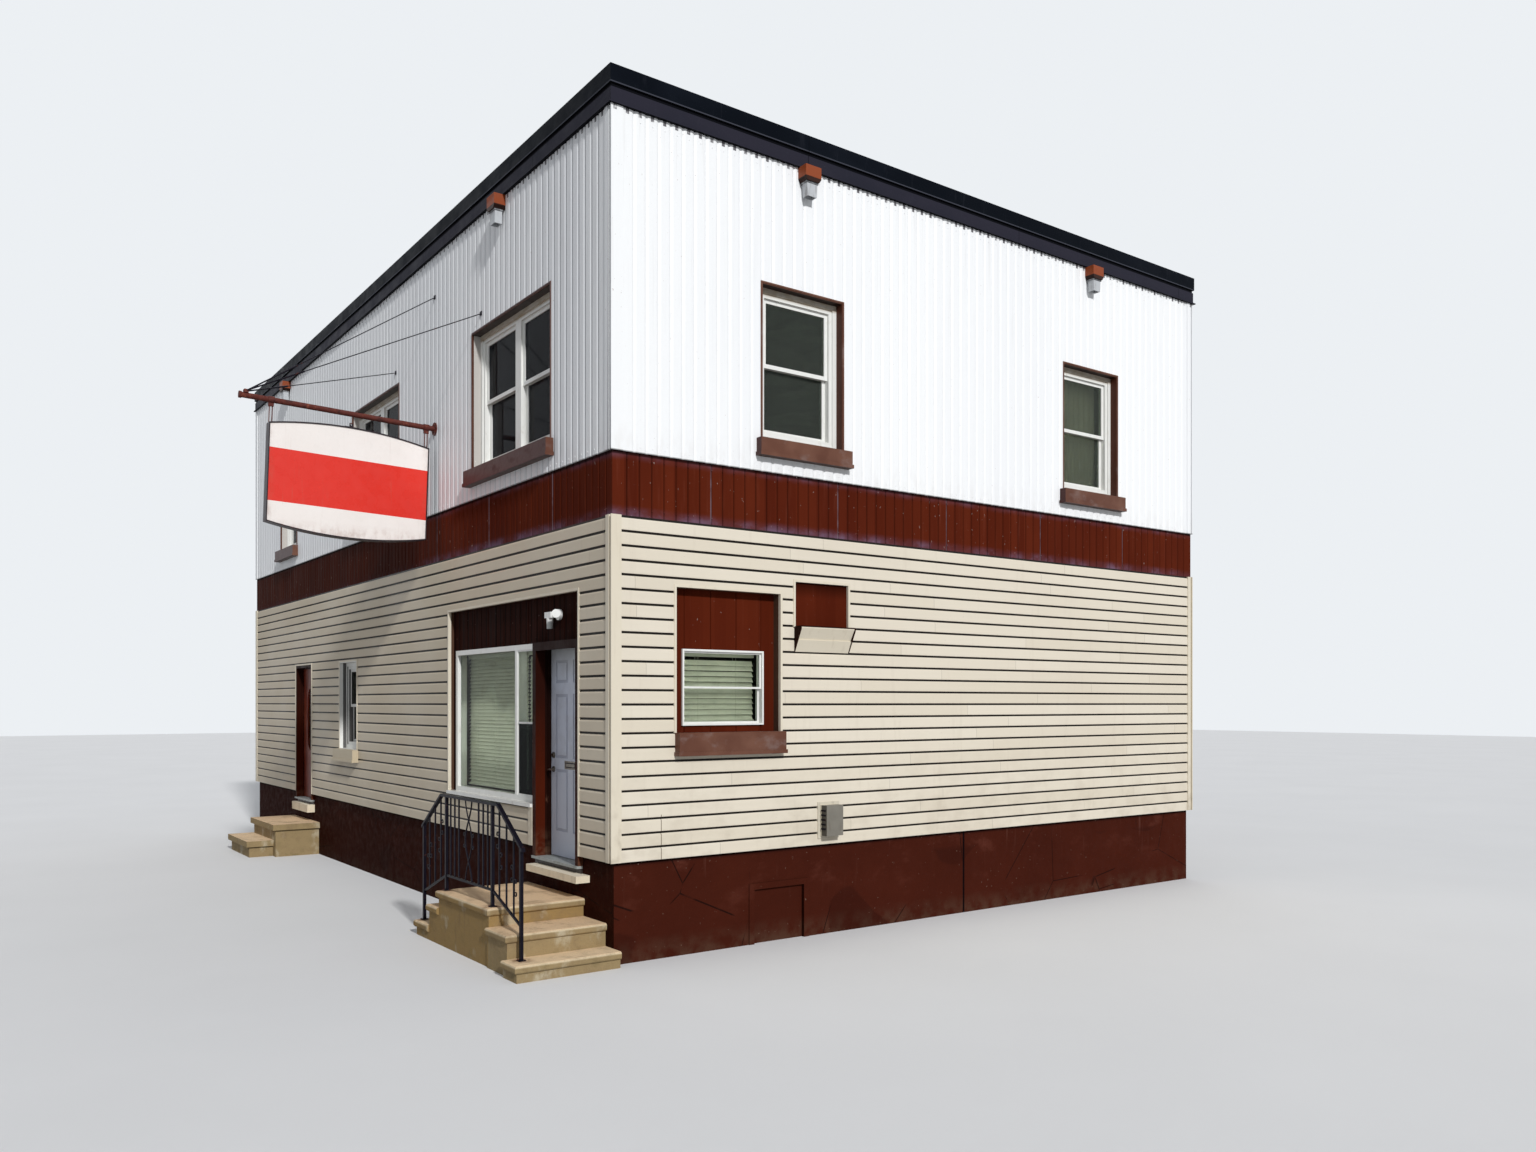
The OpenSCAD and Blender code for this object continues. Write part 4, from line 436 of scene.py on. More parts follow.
def foundation_material():
    """Brown masonry paint: worn patches, runs, splash dirt at the ground, a joint and hairline cracks; a
    painted shadow under the siding and painted shade over the front and back faces.
    """
    m = Mat("painted_parging", 0.8, spec=0.02)
    _, _, side = m.facing()
    color = m.mix(m.noise(1.1, (1, 1, 1.2), 5), srgb(72, 30, 19), srgb(54, 21, 13))
    pale = m.mul(m.ramp(m.noise(1.7, (1, 1, 1.8), 6, 0.65), 0.54, 0.72), m.linear(m.z, 0.25, 0.85, 0.15, 1.0))
    color = m.coat(color, pale, 0.30, srgb(116, 66, 54))
    drips = m.mul(m.ramp(m.noise(13, (1, 1, 0.07), 4, 0.6), 0.60, 0.74), m.linear(m.z, 0.35, 0.9))
    color = m.coat(color, drips, 0.22, srgb(130, 90, 78))
    splash = m.mul(m.linear(m.z, 0.22, 0.0), m.ramp(m.noise(7, detail=5), 0.34, 0.68))
    color = m.coat(color, splash, 0.45, srgb(92, 72, 58))
    # Painted shadow: the top of the foundation nearly black under the siding's edge.
    color = m.coat(color, m.ramp(m.z, 0.845, 0.895), 0.92, srgb(10, 7, 10))
    patch = m.mul(m.ramp(m.noise(0.55, (1, 1, 1.7), 2, 0.3), 0.60, 0.61), m.linear(m.z, 0.75, 0.7))
    color = m.coat(color, patch, 0.35, srgb(36, 13, 9))
    joint = m.mul(m.stripe(m.y, 30.0, 0.026, 30.0 - WALL_JOINT), side)
    color = m.coat(color, joint, 0.95, srgb(8, 5, 7))
    chips = m.ramp(m.noise(26, (1, 1, 1), 4, 0.6), 0.69, 0.71)
    color = m.coat(color, chips, 0.5, srgb(130, 108, 94))
    # Painted shade: the front and back faces much darker than the sides.
    color = m.coat(color, m.flip(side), 0.62, srgb(22, 7, 4))
    crack = m.add("TexVoronoi", m.scale((1, 1, 1)), None, 1.1, feature="DISTANCE_TO_EDGE").outputs[0]
    crack = m.mul(m.below(crack, 0.004), m.ramp(m.noise(0.9), 0.5, 0.55))
    color = m.coat(color, crack, 0.8, srgb(20, 11, 9))
    m.bump(m.noise(4, (1, 1, 1), 6, 0.65), 0.022)
    m.bump(m.noise(90, (1, 1, 1), 4, 0.7), 0.0025)
    m.bump(m.math("ADD", crack, joint), -0.006)
    return m.done(color, m.ramp(m.noise(9), 0.3, 0.7, 0.6, 0.85))


def concrete_material(name, riser, tread, front, pale, dirt=1.0):
    """Cast concrete: worn noses, speckled treads, risers with runs, rust round the railing's feet."""
    m = Mat(name, 0.8, spec=0.1)
    n = m.facets()
    color = m.mix(m.noise(2.4, detail=5), riser, tuple(c * 0.8 for c in riser))
    middle = m.mul(m.below(m.x, STAIR[1]), m.above(m.x, STAIR[0]))
    middle = m.mul(middle, m.below(n[2], 0.2))
    color = m.coat(color, middle, 0.85, front)
    top = m.ramp(n[2], 0.55, 0.95)
    color = m.coat(color, top, 0.9, tread)
    nose = m.mul(m.ramp(n[2], 0.05, 0.35), m.ramp(n[2], 0.95, 0.6))
    color = m.coat(color, nose, 0.75, pale)
    stains = m.ramp(m.noise(4.5, (1, 1, 1), 6, 0.65), 0.48, 0.68)
    color = m.coat(color, stains, 0.45 * dirt, srgb(126, 106, 82))
    bleach = m.mul(m.ramp(m.noise(3.1, (1, 1, 0.7), 5, 0.6), 0.54, 0.66), m.below(n[2], 0.4))
    color = m.coat(color, bleach, 0.45, srgb(206, 198, 176))
    drips = m.mul(m.ramp(m.noise(16, (1, 1, 0.15)), 0.54, 0.70), m.below(n[2], 0.4))
    color = m.coat(color, drips, 0.30 * dirt, srgb(126, 104, 76))
    moss = m.mul(m.ramp(m.noise(7, detail=5), 0.52, 0.68), m.linear(m.z, 0.30, 0.0))
    color = m.coat(color, moss, 0.35, srgb(96, 90, 56))
    lowest = m.mul(top, m.linear(m.z, 0.30, 0.20, 0, 0.2))
    color = m.mix(lowest, color, srgb(250, 234, 198))
    nearest = 9.0
    for foot in FEET:
        place = tuple(CORNER + Vector(foot))
        away = m.add("VectorMath", m.pos, place, operation="DISTANCE").outputs[1]
        nearest = m.math("MINIMUM", nearest, away)
    rust = m.mul(m.ramp(nearest, 0.13, 0.03), m.ramp(m.noise(14), 0.35, 0.6))
    color = m.coat(color, rust, 0.8, srgb(96, 44, 24))
    grit = m.noise(150, (1, 1, 1), 3, 0.7)
    color = m.mix(m.ramp(grit, 0.56, 0.68, 0, 0.60 * dirt), color, srgb(104, 86, 68))
    m.bump(grit, 0.0016)
    m.bump(m.noise(18, (1, 1, 1), 4, 0.6), 0.006)
    return m.done(color, m.ramp(stains, 0, 1, 0.72, 0.9))


def wall_material():
    """Bare sheathing outside, plaster inside."""
    m = Mat("framed_wall", 0.7, spec=0.1)
    outside = m.below(m.depth(), 0.20)
    plaster = m.mix(m.noise(1.2), srgb(96, 92, 84), srgb(78, 74, 68))
    sheath = m.mix(m.noise(8, (1, 1, 0.3)), srgb(92, 66, 50), srgb(66, 46, 36))
    color = m.mix(outside, plaster, sheath)
    m.bump(m.noise(30), 0.002)
    return m.done(color, m.ramp(m.noise(6), 0.3, 0.7, 0.55, 0.8))


def floor_material():
    """Plain boards along x."""
    m = Mat("floor_boards", 0.5)
    tone = m.cell(m.y, 0.11, 40)
    color = m.mix(tone, srgb(112, 80, 52), srgb(84, 58, 38))
    grain = m.noise(30, (0.05, 1, 1), 5, 0.65)
    color = m.mix(m.ramp(grain, 0.4, 0.7, 0, 0.5), color, srgb(62, 42, 28))
    gap = m.stripe(m.y, 0.11, 0.004, 40)
    color = m.coat(color, gap, 0.85, srgb(26, 18, 14))
    m.bump(m.math("SUBTRACT", grain, gap), 0.002)
    return m.done(color, m.ramp(m.noise(4), 0.3, 0.7, 0.35, 0.65))


def roof_material():
    """Grey membrane with laps, dried pools and grit."""
    m = Mat("roof_membrane", 0.85)
    color = m.mix(m.noise(0.7, detail=5), srgb(96, 96, 98), srgb(74, 74, 78))
    lap = m.stripe(m.y, 1.0, 0.09, 20.3)
    color = m.coat(color, lap, 0.5, srgb(58, 58, 62))
    pool = m.ramp(m.noise(0.9, (1, 1, 1), 4, 0.5), 0.52, 0.62)
    color = m.coat(color, pool, 0.22, srgb(126, 120, 108))
    grit = m.noise(120, (1, 1, 1), 3, 0.7)
    color = m.mix(m.ramp(grit, 0.5, 0.7, 0, 0.5), color, srgb(132, 130, 126))
    m.bump(lap, 0.004)
    m.bump(grit, 0.003)
    return m.done(color, m.ramp(pool, 0, 1, 0.9, 0.6))


def white_vinyl_material():
    """White vinyl: dirt on the ledges; painted shade on the undersides, on the deep jambs of the front's low
    window and, in beige, over the boards at the head of the upper windows.
    """
    m = Mat("white_vinyl", 0.36, spec=0.2)
    n = m.facets()
    color = m.mix(m.noise(3.5), srgb(236, 236, 232), srgb(224, 224, 219))
    dirt = m.ramp(m.noise(18, (1, 1, 0.5), 5, 0.65), 0.54, 0.74)
    color = m.coat(color, dirt, 0.28, srgb(180, 172, 154))
    ledge = m.mul(m.ramp(n[2], 0.5, 0.9), m.ramp(m.noise(9), 0.35, 0.65))
    color = m.coat(color, ledge, 0.4, srgb(160, 152, 138))
    # Painted shade: undersides darker.
    head = m.below(n[2], -0.5)
    color = m.coat(color, head, 0.5, srgb(140, 128, 112))
    # Painted shade: the jamb faces that look to +x, deep in the reveals of the front's low window, nearly
    # black.
    deep = m.mul(m.above(m.y, CORNER.y + 0.045), m.below(m.y, CORNER.y + 0.25))
    deep = m.mul(m.mul(deep, m.above(n[0], 0.5)), m.below(m.x, LOW_WINDOW))
    color = m.coat(color, m.mul(deep, m.below(m.z, SIDING_TOP)), 0.9, srgb(52, 50, 50))
    # Painted shade: beige over the boards at the head of the upper windows.
    board = m.linear(m.z, UPPER_HEAD - 0.085, UPPER_HEAD - 0.060)
    color = m.mix(m.mul(board, m.ramp(m.noise(8, (1, 1, 3)), 0.3, 0.7, 0.6, 0.9)), color, srgb(150, 132, 106))
    m.bump(m.noise(25), 0.0005)
    return m.done(color, m.ramp(dirt, 0, 1, 0.3, 0.5))


def glass_material(name, color, rough=0.02, clear=1.0, shop=False):
    """Clear glass with a tint and little glare.

    The shop's wide pane has painted shade, darker at its top and foot, and its narrow window nearly black in
    the low sash, as in the photo; the upper windows of the front have painted shade, darker than the others.
    """
    m = Mat(name, rough, Transmission_Weight=clear, IOR=1.08)
    dust = m.ramp(m.noise(5, (1, 1, 0.6), 5, 0.6), 0.45, 0.75)
    tone = m.mix(m.mul(dust, 0.5), color, tuple(c * 0.85 for c in color))
    if shop:
        low, high = (v.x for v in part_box("shop_window_frame"))
        inside = m.mul(m.above(m.x, low), m.below(m.x, high))
        narrow = m.above(m.x, high - 0.56)
        wavy = m.math("ADD", m.z, m.mul(m.noise(1.4, detail=3), 0.5))
        wide = m.mul(inside, m.flip(narrow))
        # Painted shade: the wide pane darker at its top and foot, the low sash of the narrow window nearly
        # black.
        top, foot = m.ramp(wavy, 2.48, 2.62, 0, 0.50), m.ramp(wavy, 2.06, 1.90, 0, 0.28)
        tone = m.mix(m.mul(wide, top), tone, tuple(c * 0.35 for c in color))
        tone = m.mix(m.mul(wide, foot), tone, tuple(c * 0.45 for c in color))
        sash = m.mul(m.mul(inside, narrow), m.below(m.z, SASH_RAIL))
        tone = m.mix(sash, tone, (0.05, 0.07, 0.065))
    else:
        # Painted shade: the upper windows of the front darker.
        upper_front_shade = m.mul(m.below(m.y, CORNER.y + 0.3), m.above(m.z, BAND_TOP))
        tone = m.mix(upper_front_shade, tone, (0.15, 0.16, 0.18))
    m.bump(m.noise(1.3, detail=2), 0.0012)
    return m.done(tone, m.linear(dust, 0, 1, rough, rough + 0.05))


def door_paint_material():
    """Grey paint: scuffs low down, shade in the panel lines and under the head."""
    m = Mat("grey_door_paint", 0.42)
    color = m.mix(m.noise(1.8, (1, 1, 0.7)), srgb(214, 220, 233), srgb(202, 207, 221))
    scuffs = m.mul(m.ramp(m.noise(26, (1, 1, 2.5), 4, 0.7), 0.62, 0.74), m.linear(m.z, 1.6, 0.85, 0.15, 1.0))
    color = m.coat(color, scuffs, 0.40, srgb(104, 100, 106))
    hand = m.mul(m.ramp(m.noise(7), 0.4, 0.65), m.linear(m.z, 1.4, 1.75))
    color = m.coat(color, hand, 0.15, srgb(140, 132, 126))
    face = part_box("shop_door")[0].y
    ring = m.mul(m.above(m.y, face + 0.002), m.below(m.y, face + 0.012))
    color = m.coat(color, ring, 0.35, srgb(120, 122, 138))
    top = m.mul(m.linear(m.z, 2.50, 2.84), 0.5)
    color = m.mix(top, color, srgb(146, 142, 118))
    m.bump(m.noise(70, (1, 1, 0.15), 4, 0.7), 0.0005)
    return m.done(color, m.ramp(m.noise(9), 0.3, 0.7, 0.36, 0.5))


def wood_door_material():
    """Varnished red-brown wood."""
    m = Mat("varnished_door", 0.35)
    grain = m.noise(26, (1, 1, 0.06), 6, 0.65)
    color = m.mix(m.ramp(grain, 0.35, 0.68), srgb(110, 42, 24), srgb(66, 22, 14))
    color = m.mix(m.ramp(m.noise(2.2), 0.4, 0.7, 0, 0.5), color, srgb(124, 58, 34))
    m.bump(grain, 0.0012)
    return m.done(color, m.ramp(m.noise(5), 0.3, 0.7, 0.3, 0.5))


def brown_paint_material():
    """Brown paint on wood: nearly black beside the leaf, rubbed low down; painted light on the faces that
    look to +x, and painted shade darkening it higher up.
    """
    m = Mat("brown_paint", 0.5, spec=0.04)
    n = m.facets()
    grain = m.noise(22, (1, 1, 0.08), 5, 0.65)
    color = m.mix(m.ramp(grain, 0.3, 0.7), srgb(56, 18, 8), srgb(40, 12, 5))
    lit = m.above(n[0], 0.5)
    color = m.coat(color, lit, 0.6, srgb(82, 28, 9))
    deep = m.above(m.depth(), 0.10)
    color = m.coat(color, deep, 0.85, srgb(16, 8, 6))
    # Painted shade: darker higher up.
    color = m.mix(m.linear(m.z, 1.5, 2.4, 0, 0.75), color, srgb(20, 8, 6))
    worn = m.mul(m.ramp(m.noise(9, (1, 1, 0.5), 5, 0.65), 0.62, 0.72), m.linear(m.z, 2.4, 0.9, 0.15, 1.0))
    color = m.coat(color, worn, 0.35, srgb(140, 100, 80))
    low = m.mul(m.linear(m.z, 1.1, 0.84), m.ramp(m.noise(12), 0.4, 0.65))
    color = m.coat(color, low, 0.4, srgb(110, 82, 64))
    m.bump(grain, 0.0012)
    m.bump(worn, -0.0008)
    return m.done(color, m.ramp(m.noise(6), 0.3, 0.7, 0.42, 0.6))


def iron_material():
    """Black painted iron with specks of rust."""
    m = Mat("black_iron", 0.45, spec=0.08)
    color = m.mix(m.noise(14), srgb(24, 21, 33), srgb(12, 11, 17))
    rust = m.ramp(m.noise(32, (1, 1, 0.7), 5, 0.65), 0.62, 0.70)
    color = m.coat(color, rust, 0.55, srgb(96, 54, 38))
    m.bump(m.noise(90, detail=3), 0.0012)
    return m.done(color, m.ramp(rust, 0, 1, 0.32, 0.8))


def rusted_material():
    """Rusted steel, dark and orange in patches."""
    m = Mat("rusted_steel", 0.65, spec=0.15)
    color = m.mix(m.noise(9, (1, 1, 1), 5, 0.65), srgb(104, 52, 44), srgb(74, 36, 32))
    color = m.mix(m.ramp(m.noise(26, (1, 1, 1), 5, 0.7), 0.52, 0.70, 0, 0.6), color, srgb(150, 84, 62))
    color = m.mix(m.ramp(m.noise(13), 0.58, 0.68, 0, 0.7), color, srgb(44, 28, 30))
    m.bump(m.noise(70, (1, 1, 1), 4, 0.7), 0.003)
    return m.done(color, m.ramp(m.noise(17), 0.3, 0.7, 0.5, 0.85))


def dark_rod_material():
    """Nearly black rods with some rust."""
    m = Mat("dark_rods", 0.5, spec=0.08)
    color = m.mix(m.noise(20), srgb(34, 30, 40), srgb(18, 16, 23))
    rust = m.ramp(m.noise(14, (1, 1, 1), 5, 0.65), 0.6, 0.7)
    color = m.coat(color, rust, 0.6, srgb(98, 56, 44))
    m.bump(m.noise(80, detail=3), 0.001)
    return m.done(color, m.ramp(rust, 0, 1, 0.4, 0.8))


def lamp_material():
    """White lamp housings, greyer towards the glass jar, with painted shade on the undersides."""
    m = Mat("lamp_enamel", 0.3)
    n = m.facets()
    low, high = (v.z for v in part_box("floodlight"))
    color = m.mix(m.noise(20, detail=3), srgb(240, 240, 238), srgb(222, 222, 218))
    jar = m.linear(m.z, low + (high - low) * 0.45, low + (high - low) * 0.30)
    color = m.coat(color, jar, 0.7, srgb(150, 154, 152))
    # Painted shade: undersides grey.
    under = m.linear(n[2], 0.1, -0.6)
    color = m.coat(color, under, 0.6, srgb(110, 112, 112))
    m.bump(m.noise(60), 0.0005)
    return m.done(color, m.ramp(m.noise(14), 0.3, 0.7, 0.22, 0.4))


def sign_frame_material():
    """Dark painted frame, rust-stained."""
    m = Mat("sign_frame_paint", 0.5, spec=0.15)
    color = m.mix(m.noise(6), srgb(54, 44, 50), srgb(32, 28, 34))
    rust = m.ramp(m.noise(16, (1, 1, 0.6), 6, 0.65), 0.58, 0.68)
    color = m.coat(color, rust, 0.6, srgb(120, 66, 48))
    m.bump(m.noise(50), 0.0014)
    return m.done(color, m.ramp(rust, 0, 1, 0.4, 0.8))


def sign_face_material():
    """Plain bands: white over red over white, with grime at the rim."""
    m = Mat("sign_plastic", 0.26, spec=0.25)
    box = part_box("sign_faces")
    mid_y, tilt = (box[0].y + box[1].y) / 2, math.tan(math.radians(2))
    level = m.math("ADD", m.z, m.mul(m.math("SUBTRACT", m.y, mid_y), tilt))
    low, high = box[0].z + SIGN_TILT, box[1].z - SIGN_TILT
    band = [low + (high - low) * k for k in SIGN_BANDS]
    red = m.mul(m.below(level, band[1]), m.above(level, band[0]))
    white = m.mix(m.noise(2.5), srgb(244, 238, 234), srgb(234, 226, 220))
    redden = m.mix(m.noise(1.7), srgb(228, 58, 46), srgb(214, 52, 43))
    color = m.mix(red, white, redden)
    rim = m.either(m.linear(m.y, box[0].y + 0.09, box[0].y), m.linear(m.y, box[1].y - 0.09, box[1].y))
    rim = m.either(rim, m.linear(m.z, box[0].z + 0.16, box[0].z + 0.04))
    grime = m.mul(rim, m.ramp(m.noise(11, (1, 1, 0.6), 5, 0.65), 0.38, 0.72))
    color = m.coat(color, grime, 0.40, srgb(150, 106, 86))
    drips = m.ramp(m.noise(24, (1, 1, 0.07), 4, 0.6), 0.60, 0.76)
    color = m.coat(color, drips, 0.14, srgb(160, 132, 114))
    m.bump(m.noise(1.8, detail=3), 0.008)
    return m.done(color, m.ramp(m.noise(8), 0.3, 0.7, 0.22, 0.38))


def spout_material():
    """Zinc pipe stubs with a dark collar under the hopper."""
    m = Mat("spout_zinc", 0.5)
    color = m.mix(m.noise(7), srgb(196, 199, 202), srgb(172, 175, 178))
    stain = m.ramp(m.noise(20, (1, 1, 0.3), 5, 0.6), 0.52, 0.72)
    color = m.coat(color, stain, 0.45, srgb(112, 102, 94))
    collar = m.mul(m.above(m.z, COLLAR_FOOT), m.ramp(m.noise(30), 0.3, 0.6, 0.5, 1.0))
    color = m.coat(color, collar, 0.8, srgb(60, 58, 60))
    m.bump(m.noise(60), 0.001)
    return m.done(color, m.ramp(stain, 0, 1, 0.42, 0.62))


def meter_material():
    """A weathered grey box with painted shade darkening its sides, on a cream back plate."""
    m = Mat("meter_paint", 0.55, spec=0.2)
    n = m.facets()
    color = m.mix(m.noise(9), srgb(132, 128, 118), srgb(106, 102, 94))
    # Painted shade: the sides of the box darker.
    flank_shade = m.above(m.math("ABSOLUTE", n[1]), 0.5)
    color = m.coat(color, flank_shade, 0.75, srgb(64, 60, 54))
    plate = m.above(m.depth(), -0.03)
    color = m.coat(color, plate, 0.95, srgb(206, 198, 180))
    stain = m.ramp(m.noise(20, (1, 1, 0.3), 5, 0.6), 0.52, 0.72)
    color = m.coat(color, stain, 0.35, srgb(96, 84, 70))
    m.bump(m.noise(60), 0.001)
    return m.done(color, m.ramp(stain, 0, 1, 0.45, 0.65))


def threshold_material():
    """Worn metal plate over a dark brown sill board."""
    m = Mat("threshold_metal", 0.45)
    color = m.mix(m.noise(12, (0.3, 1, 1)), srgb(168, 172, 168), srgb(140, 144, 142))
    worn = m.ramp(m.noise(26), 0.5, 0.7)
    color = m.coat(color, worn, 0.4, srgb(92, 88, 80))
    plate_foot = 0.781
    board = m.below(m.z, plate_foot)
    color = m.coat(color, board, 0.95, srgb(34, 14, 9))
    m.bump(m.noise(90, (0.1, 1, 1), 3), 0.0008)
    return m.done(color, m.ramp(worn, 0, 1, 0.4, 0.62))


def steel_material():
    """Worn bright metal of the lever and the mail slot."""
    m = Mat("worn_steel", 0.3, 1.0)
    color = m.mix(m.noise(40), srgb(140, 134, 124), srgb(104, 98, 90))
    m.bump(m.noise(180, (1, 0.2, 1), 3), 0.0004)
    return m.done(color, m.ramp(m.noise(50), 0.3, 0.7, 0.22, 0.42))


def slat_material():
    """Cream slats with dust."""
    m = Mat("blind_slats", 0.4)
    color = m.mix(m.noise(3, (1, 1, 8), 3), srgb(216, 216, 198), srgb(196, 196, 176))
    dust = m.ramp(m.noise(14, (0.3, 0.3, 1)), 0.5, 0.75)
    color = m.coat(color, dust, 0.4, srgb(160, 158, 140))
    m.bump(m.noise(30, (0.1, 0.1, 1), 2), 0.0004)
    return m.done(color, m.ramp(dust, 0, 1, 0.34, 0.6))


def curtain_material():
    """Plain woven cloth."""
    m = Mat("curtain_cloth", 0.9, Sheen_Weight=0.2)
    color = m.mix(m.noise(2.4, (1, 1, 0.4), 3), srgb(206, 198, 180), srgb(180, 170, 150))
    weave = m.noise(420, detail=2)
    color = m.mix(m.ramp(weave, 0.4, 0.6, 0, 0.2), color, srgb(140, 132, 116))
    m.bump(weave, 0.0006)
    return m.done(color, m.ramp(weave, 0.3, 0.7, 0.85, 0.95))


WHITE = white_vinyl_material()
BROWN_BOX = brown_box_material()
BROWN_RIB = brown_ribbed_material()
WHITE_RIB = white_ribbed_material()
CONCRETE = concrete_material("cast_concrete", srgb(158, 137, 100), srgb(236, 204, 166), srgb(148, 121, 76),
                             srgb(220, 202, 170))
STONE = concrete_material("pale_stone", srgb(236, 222, 196), srgb(240, 228, 206), srgb(236, 222, 196),
                          srgb(244, 238, 220), 0.4)
BROWN_PAINT = brown_paint_material()
RUST = rusted_material()
ROOF = roof_material()
WALL = wall_material()
BEIGE = corner_trim_material()
SLATS = slat_material()
CLOTH = curtain_material()
STEEL = steel_material()
IRON = iron_material()

use(foundation_material(), "front_foundation", "right_foundation", "back_foundation", "left_foundation",
    "basement_hatch")
use(floor_material(), "ground_floor", "second_floor")
use(ROOF, "roof_deck", "roof_parapet")
use(WALL, *[n for n in NODES if n.endswith("_wall")])
use(WALL, "front_corner_pier", "shop_window_apron", "front_lintels")
use(lap_material(), "lap_siding")
use(BEIGE, "siding_corner_posts", "siding_trims", "vent_skirt")
use(WHITE_RIB, "upper_cladding", "upper_corner_trims")
use(BROWN_RIB, "brown_band", "infill_panels")
use(BROWN_BOX, "window_sills", "roof_scuppers", "window_edges")
use(fascia_material(), "lower_fascia", "fascia_cap")
use(WHITE, "upper_window_frames", "lower_window_frames", "shop_window_frame")
use(lamp_material(), "floodlight")
use(threshold_material(), "door_sills")
use(glass_material("upper_pane", (0.43, 0.48, 0.42), clear=0.94), "upper_window_glass")
use(glass_material("lower_pane", (0.87, 0.92, 0.85), shop=True), "lower_window_glass")
use(glass_material("obscured_pane", (0.60, 0.52, 0.42), 0.28), "side_door_glass")
use(spout_material(), "scupper_spouts")
use(meter_material(), "meter_box")
use(door_paint_material(), "shop_door")
use(STEEL, "shop_door_handle")
use(wood_door_material(), "side_door")
use(BROWN_PAINT, "door_casings")
use(CONCRETE, "entrance_steps", "side_door_steps")
use(STONE, "door_thresholds")
use(IRON, "entrance_railing")
use(sign_frame_material(), "sign_cabinet")
use(sign_face_material(), "sign_faces")
use(RUST, "sign_bracket")
use(dark_rod_material(), "sign_guys")


# ---------------------------------------------------------------- blinds, curtains and small fittings

def axes(face):
    """Directions along a face, seen from outside, and out of it."""
    along = {0: (1, 0, 0), 1: (0, 1, 0), 2: (-1, 0, 0), 3: (0, -1, 0)}[face]
    out = {0: (0, -1, 0), 1: (1, 0, 0), 2: (0, 1, 0), 3: (-1, 0, 0)}[face]
    return Vector(along), Vector(out)


def piece(name, bm, mat, body, smooth=False):
    """A mesh of the scene's own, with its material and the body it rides."""
    bmesh.ops.recalc_face_normals(bm, faces=bm.faces)
    for f in bm.faces:
        f.smooth = smooth
    mesh = bpy.data.meshes.new(name)
    bm.to_mesh(mesh)
    bm.free()
    mesh.materials.append(mat)
    obj = bpy.data.objects.new(name, mesh)
    bpy.context.scene.collection.objects.link(obj)
    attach(obj, body)
    return obj


def sweep(bm, profile, ends):
    """A closed profile, one point list for each end, joined into a solid bar."""
    rings = [[bm.verts.new(e + p) for p in profile] for e in ends]
    k = len(profile)
    for i in range(k):
        bm.faces.new((rings[0][i], rings[0][(i + 1) % k], rings[1][(i + 1) % k], rings[1][i]))
    bm.faces.new(rings[0])
    bm.faces.new(rings[1][::-1])


def blind(name, face, x0, x1, z0, z1, inside, pitch=0.046, width=0.050, turn=62, seed=1):
    """A slatted blind between x0 and x1, from its bottom rail z0 up to z1, inside the wall face."""
    rng = random.Random(seed)
    along, out = axes(face)
    bm = bmesh.new()
    ends = [at(face, x, -inside, 0) for x in (x0, x1)]
    thick, bow = 0.0022, 0.0035
    for i in range(int((z1 - z0 - 0.06) / pitch)):
        z = z0 + 0.04 + i * pitch
        a = math.radians(turn + rng.uniform(-5, 5))
        line = [(u, bow * (1 - u * u)) for u in (-1, -0.5, 0, 0.5, 1)]
        flat = [(u * width / 2, h + s * thick / 2)
                for s, row in ((1, line), (-1, line[::-1])) for u, h in row]
        profile = [out * (u * math.cos(a) - h * math.sin(a))
                   + Vector((0, 0, z - u * math.sin(a) - h * math.cos(a))) for u, h in flat]
        sag = Vector((0, 0, rng.uniform(-0.002, 0.002)))
        sweep(bm, profile, [ends[0], ends[1] + sag])
    # Bottom rail and head rail: level, height and depth.
    for z, h, d in ((z0 + 0.012, 0.018, 0.046), (z1 - 0.022, 0.044, 0.052)):
        box = [out * u + Vector((0, 0, z + v)) for u, v in
               ((-d / 2, -h / 2), (d / 2, -h / 2), (d / 2, h / 2), (-d / 2, h / 2))]
        sweep(bm, box, ends)
    # Ladder cords in front of the slats and behind them.
    steps = max(2, round((x1 - x0) / 0.45))
    for i in range(steps):
        x = x0 + (x1 - x0) * (i + 0.5) / steps
        for s in (-1, 1):
            c = at(face, x, -inside + s * 0.027, 0)
            ring = [along * (0.0016 * math.cos(t)) + out * (0.0012 * math.sin(t))
                    for t in (k * math.tau / 6 for k in range(6))]
            sweep(bm, ring, [c + Vector((0, 0, z0 + 0.01)), c + Vector((0, 0, z1 - 0.02))])
    piece(name, bm, SLATS, "building")


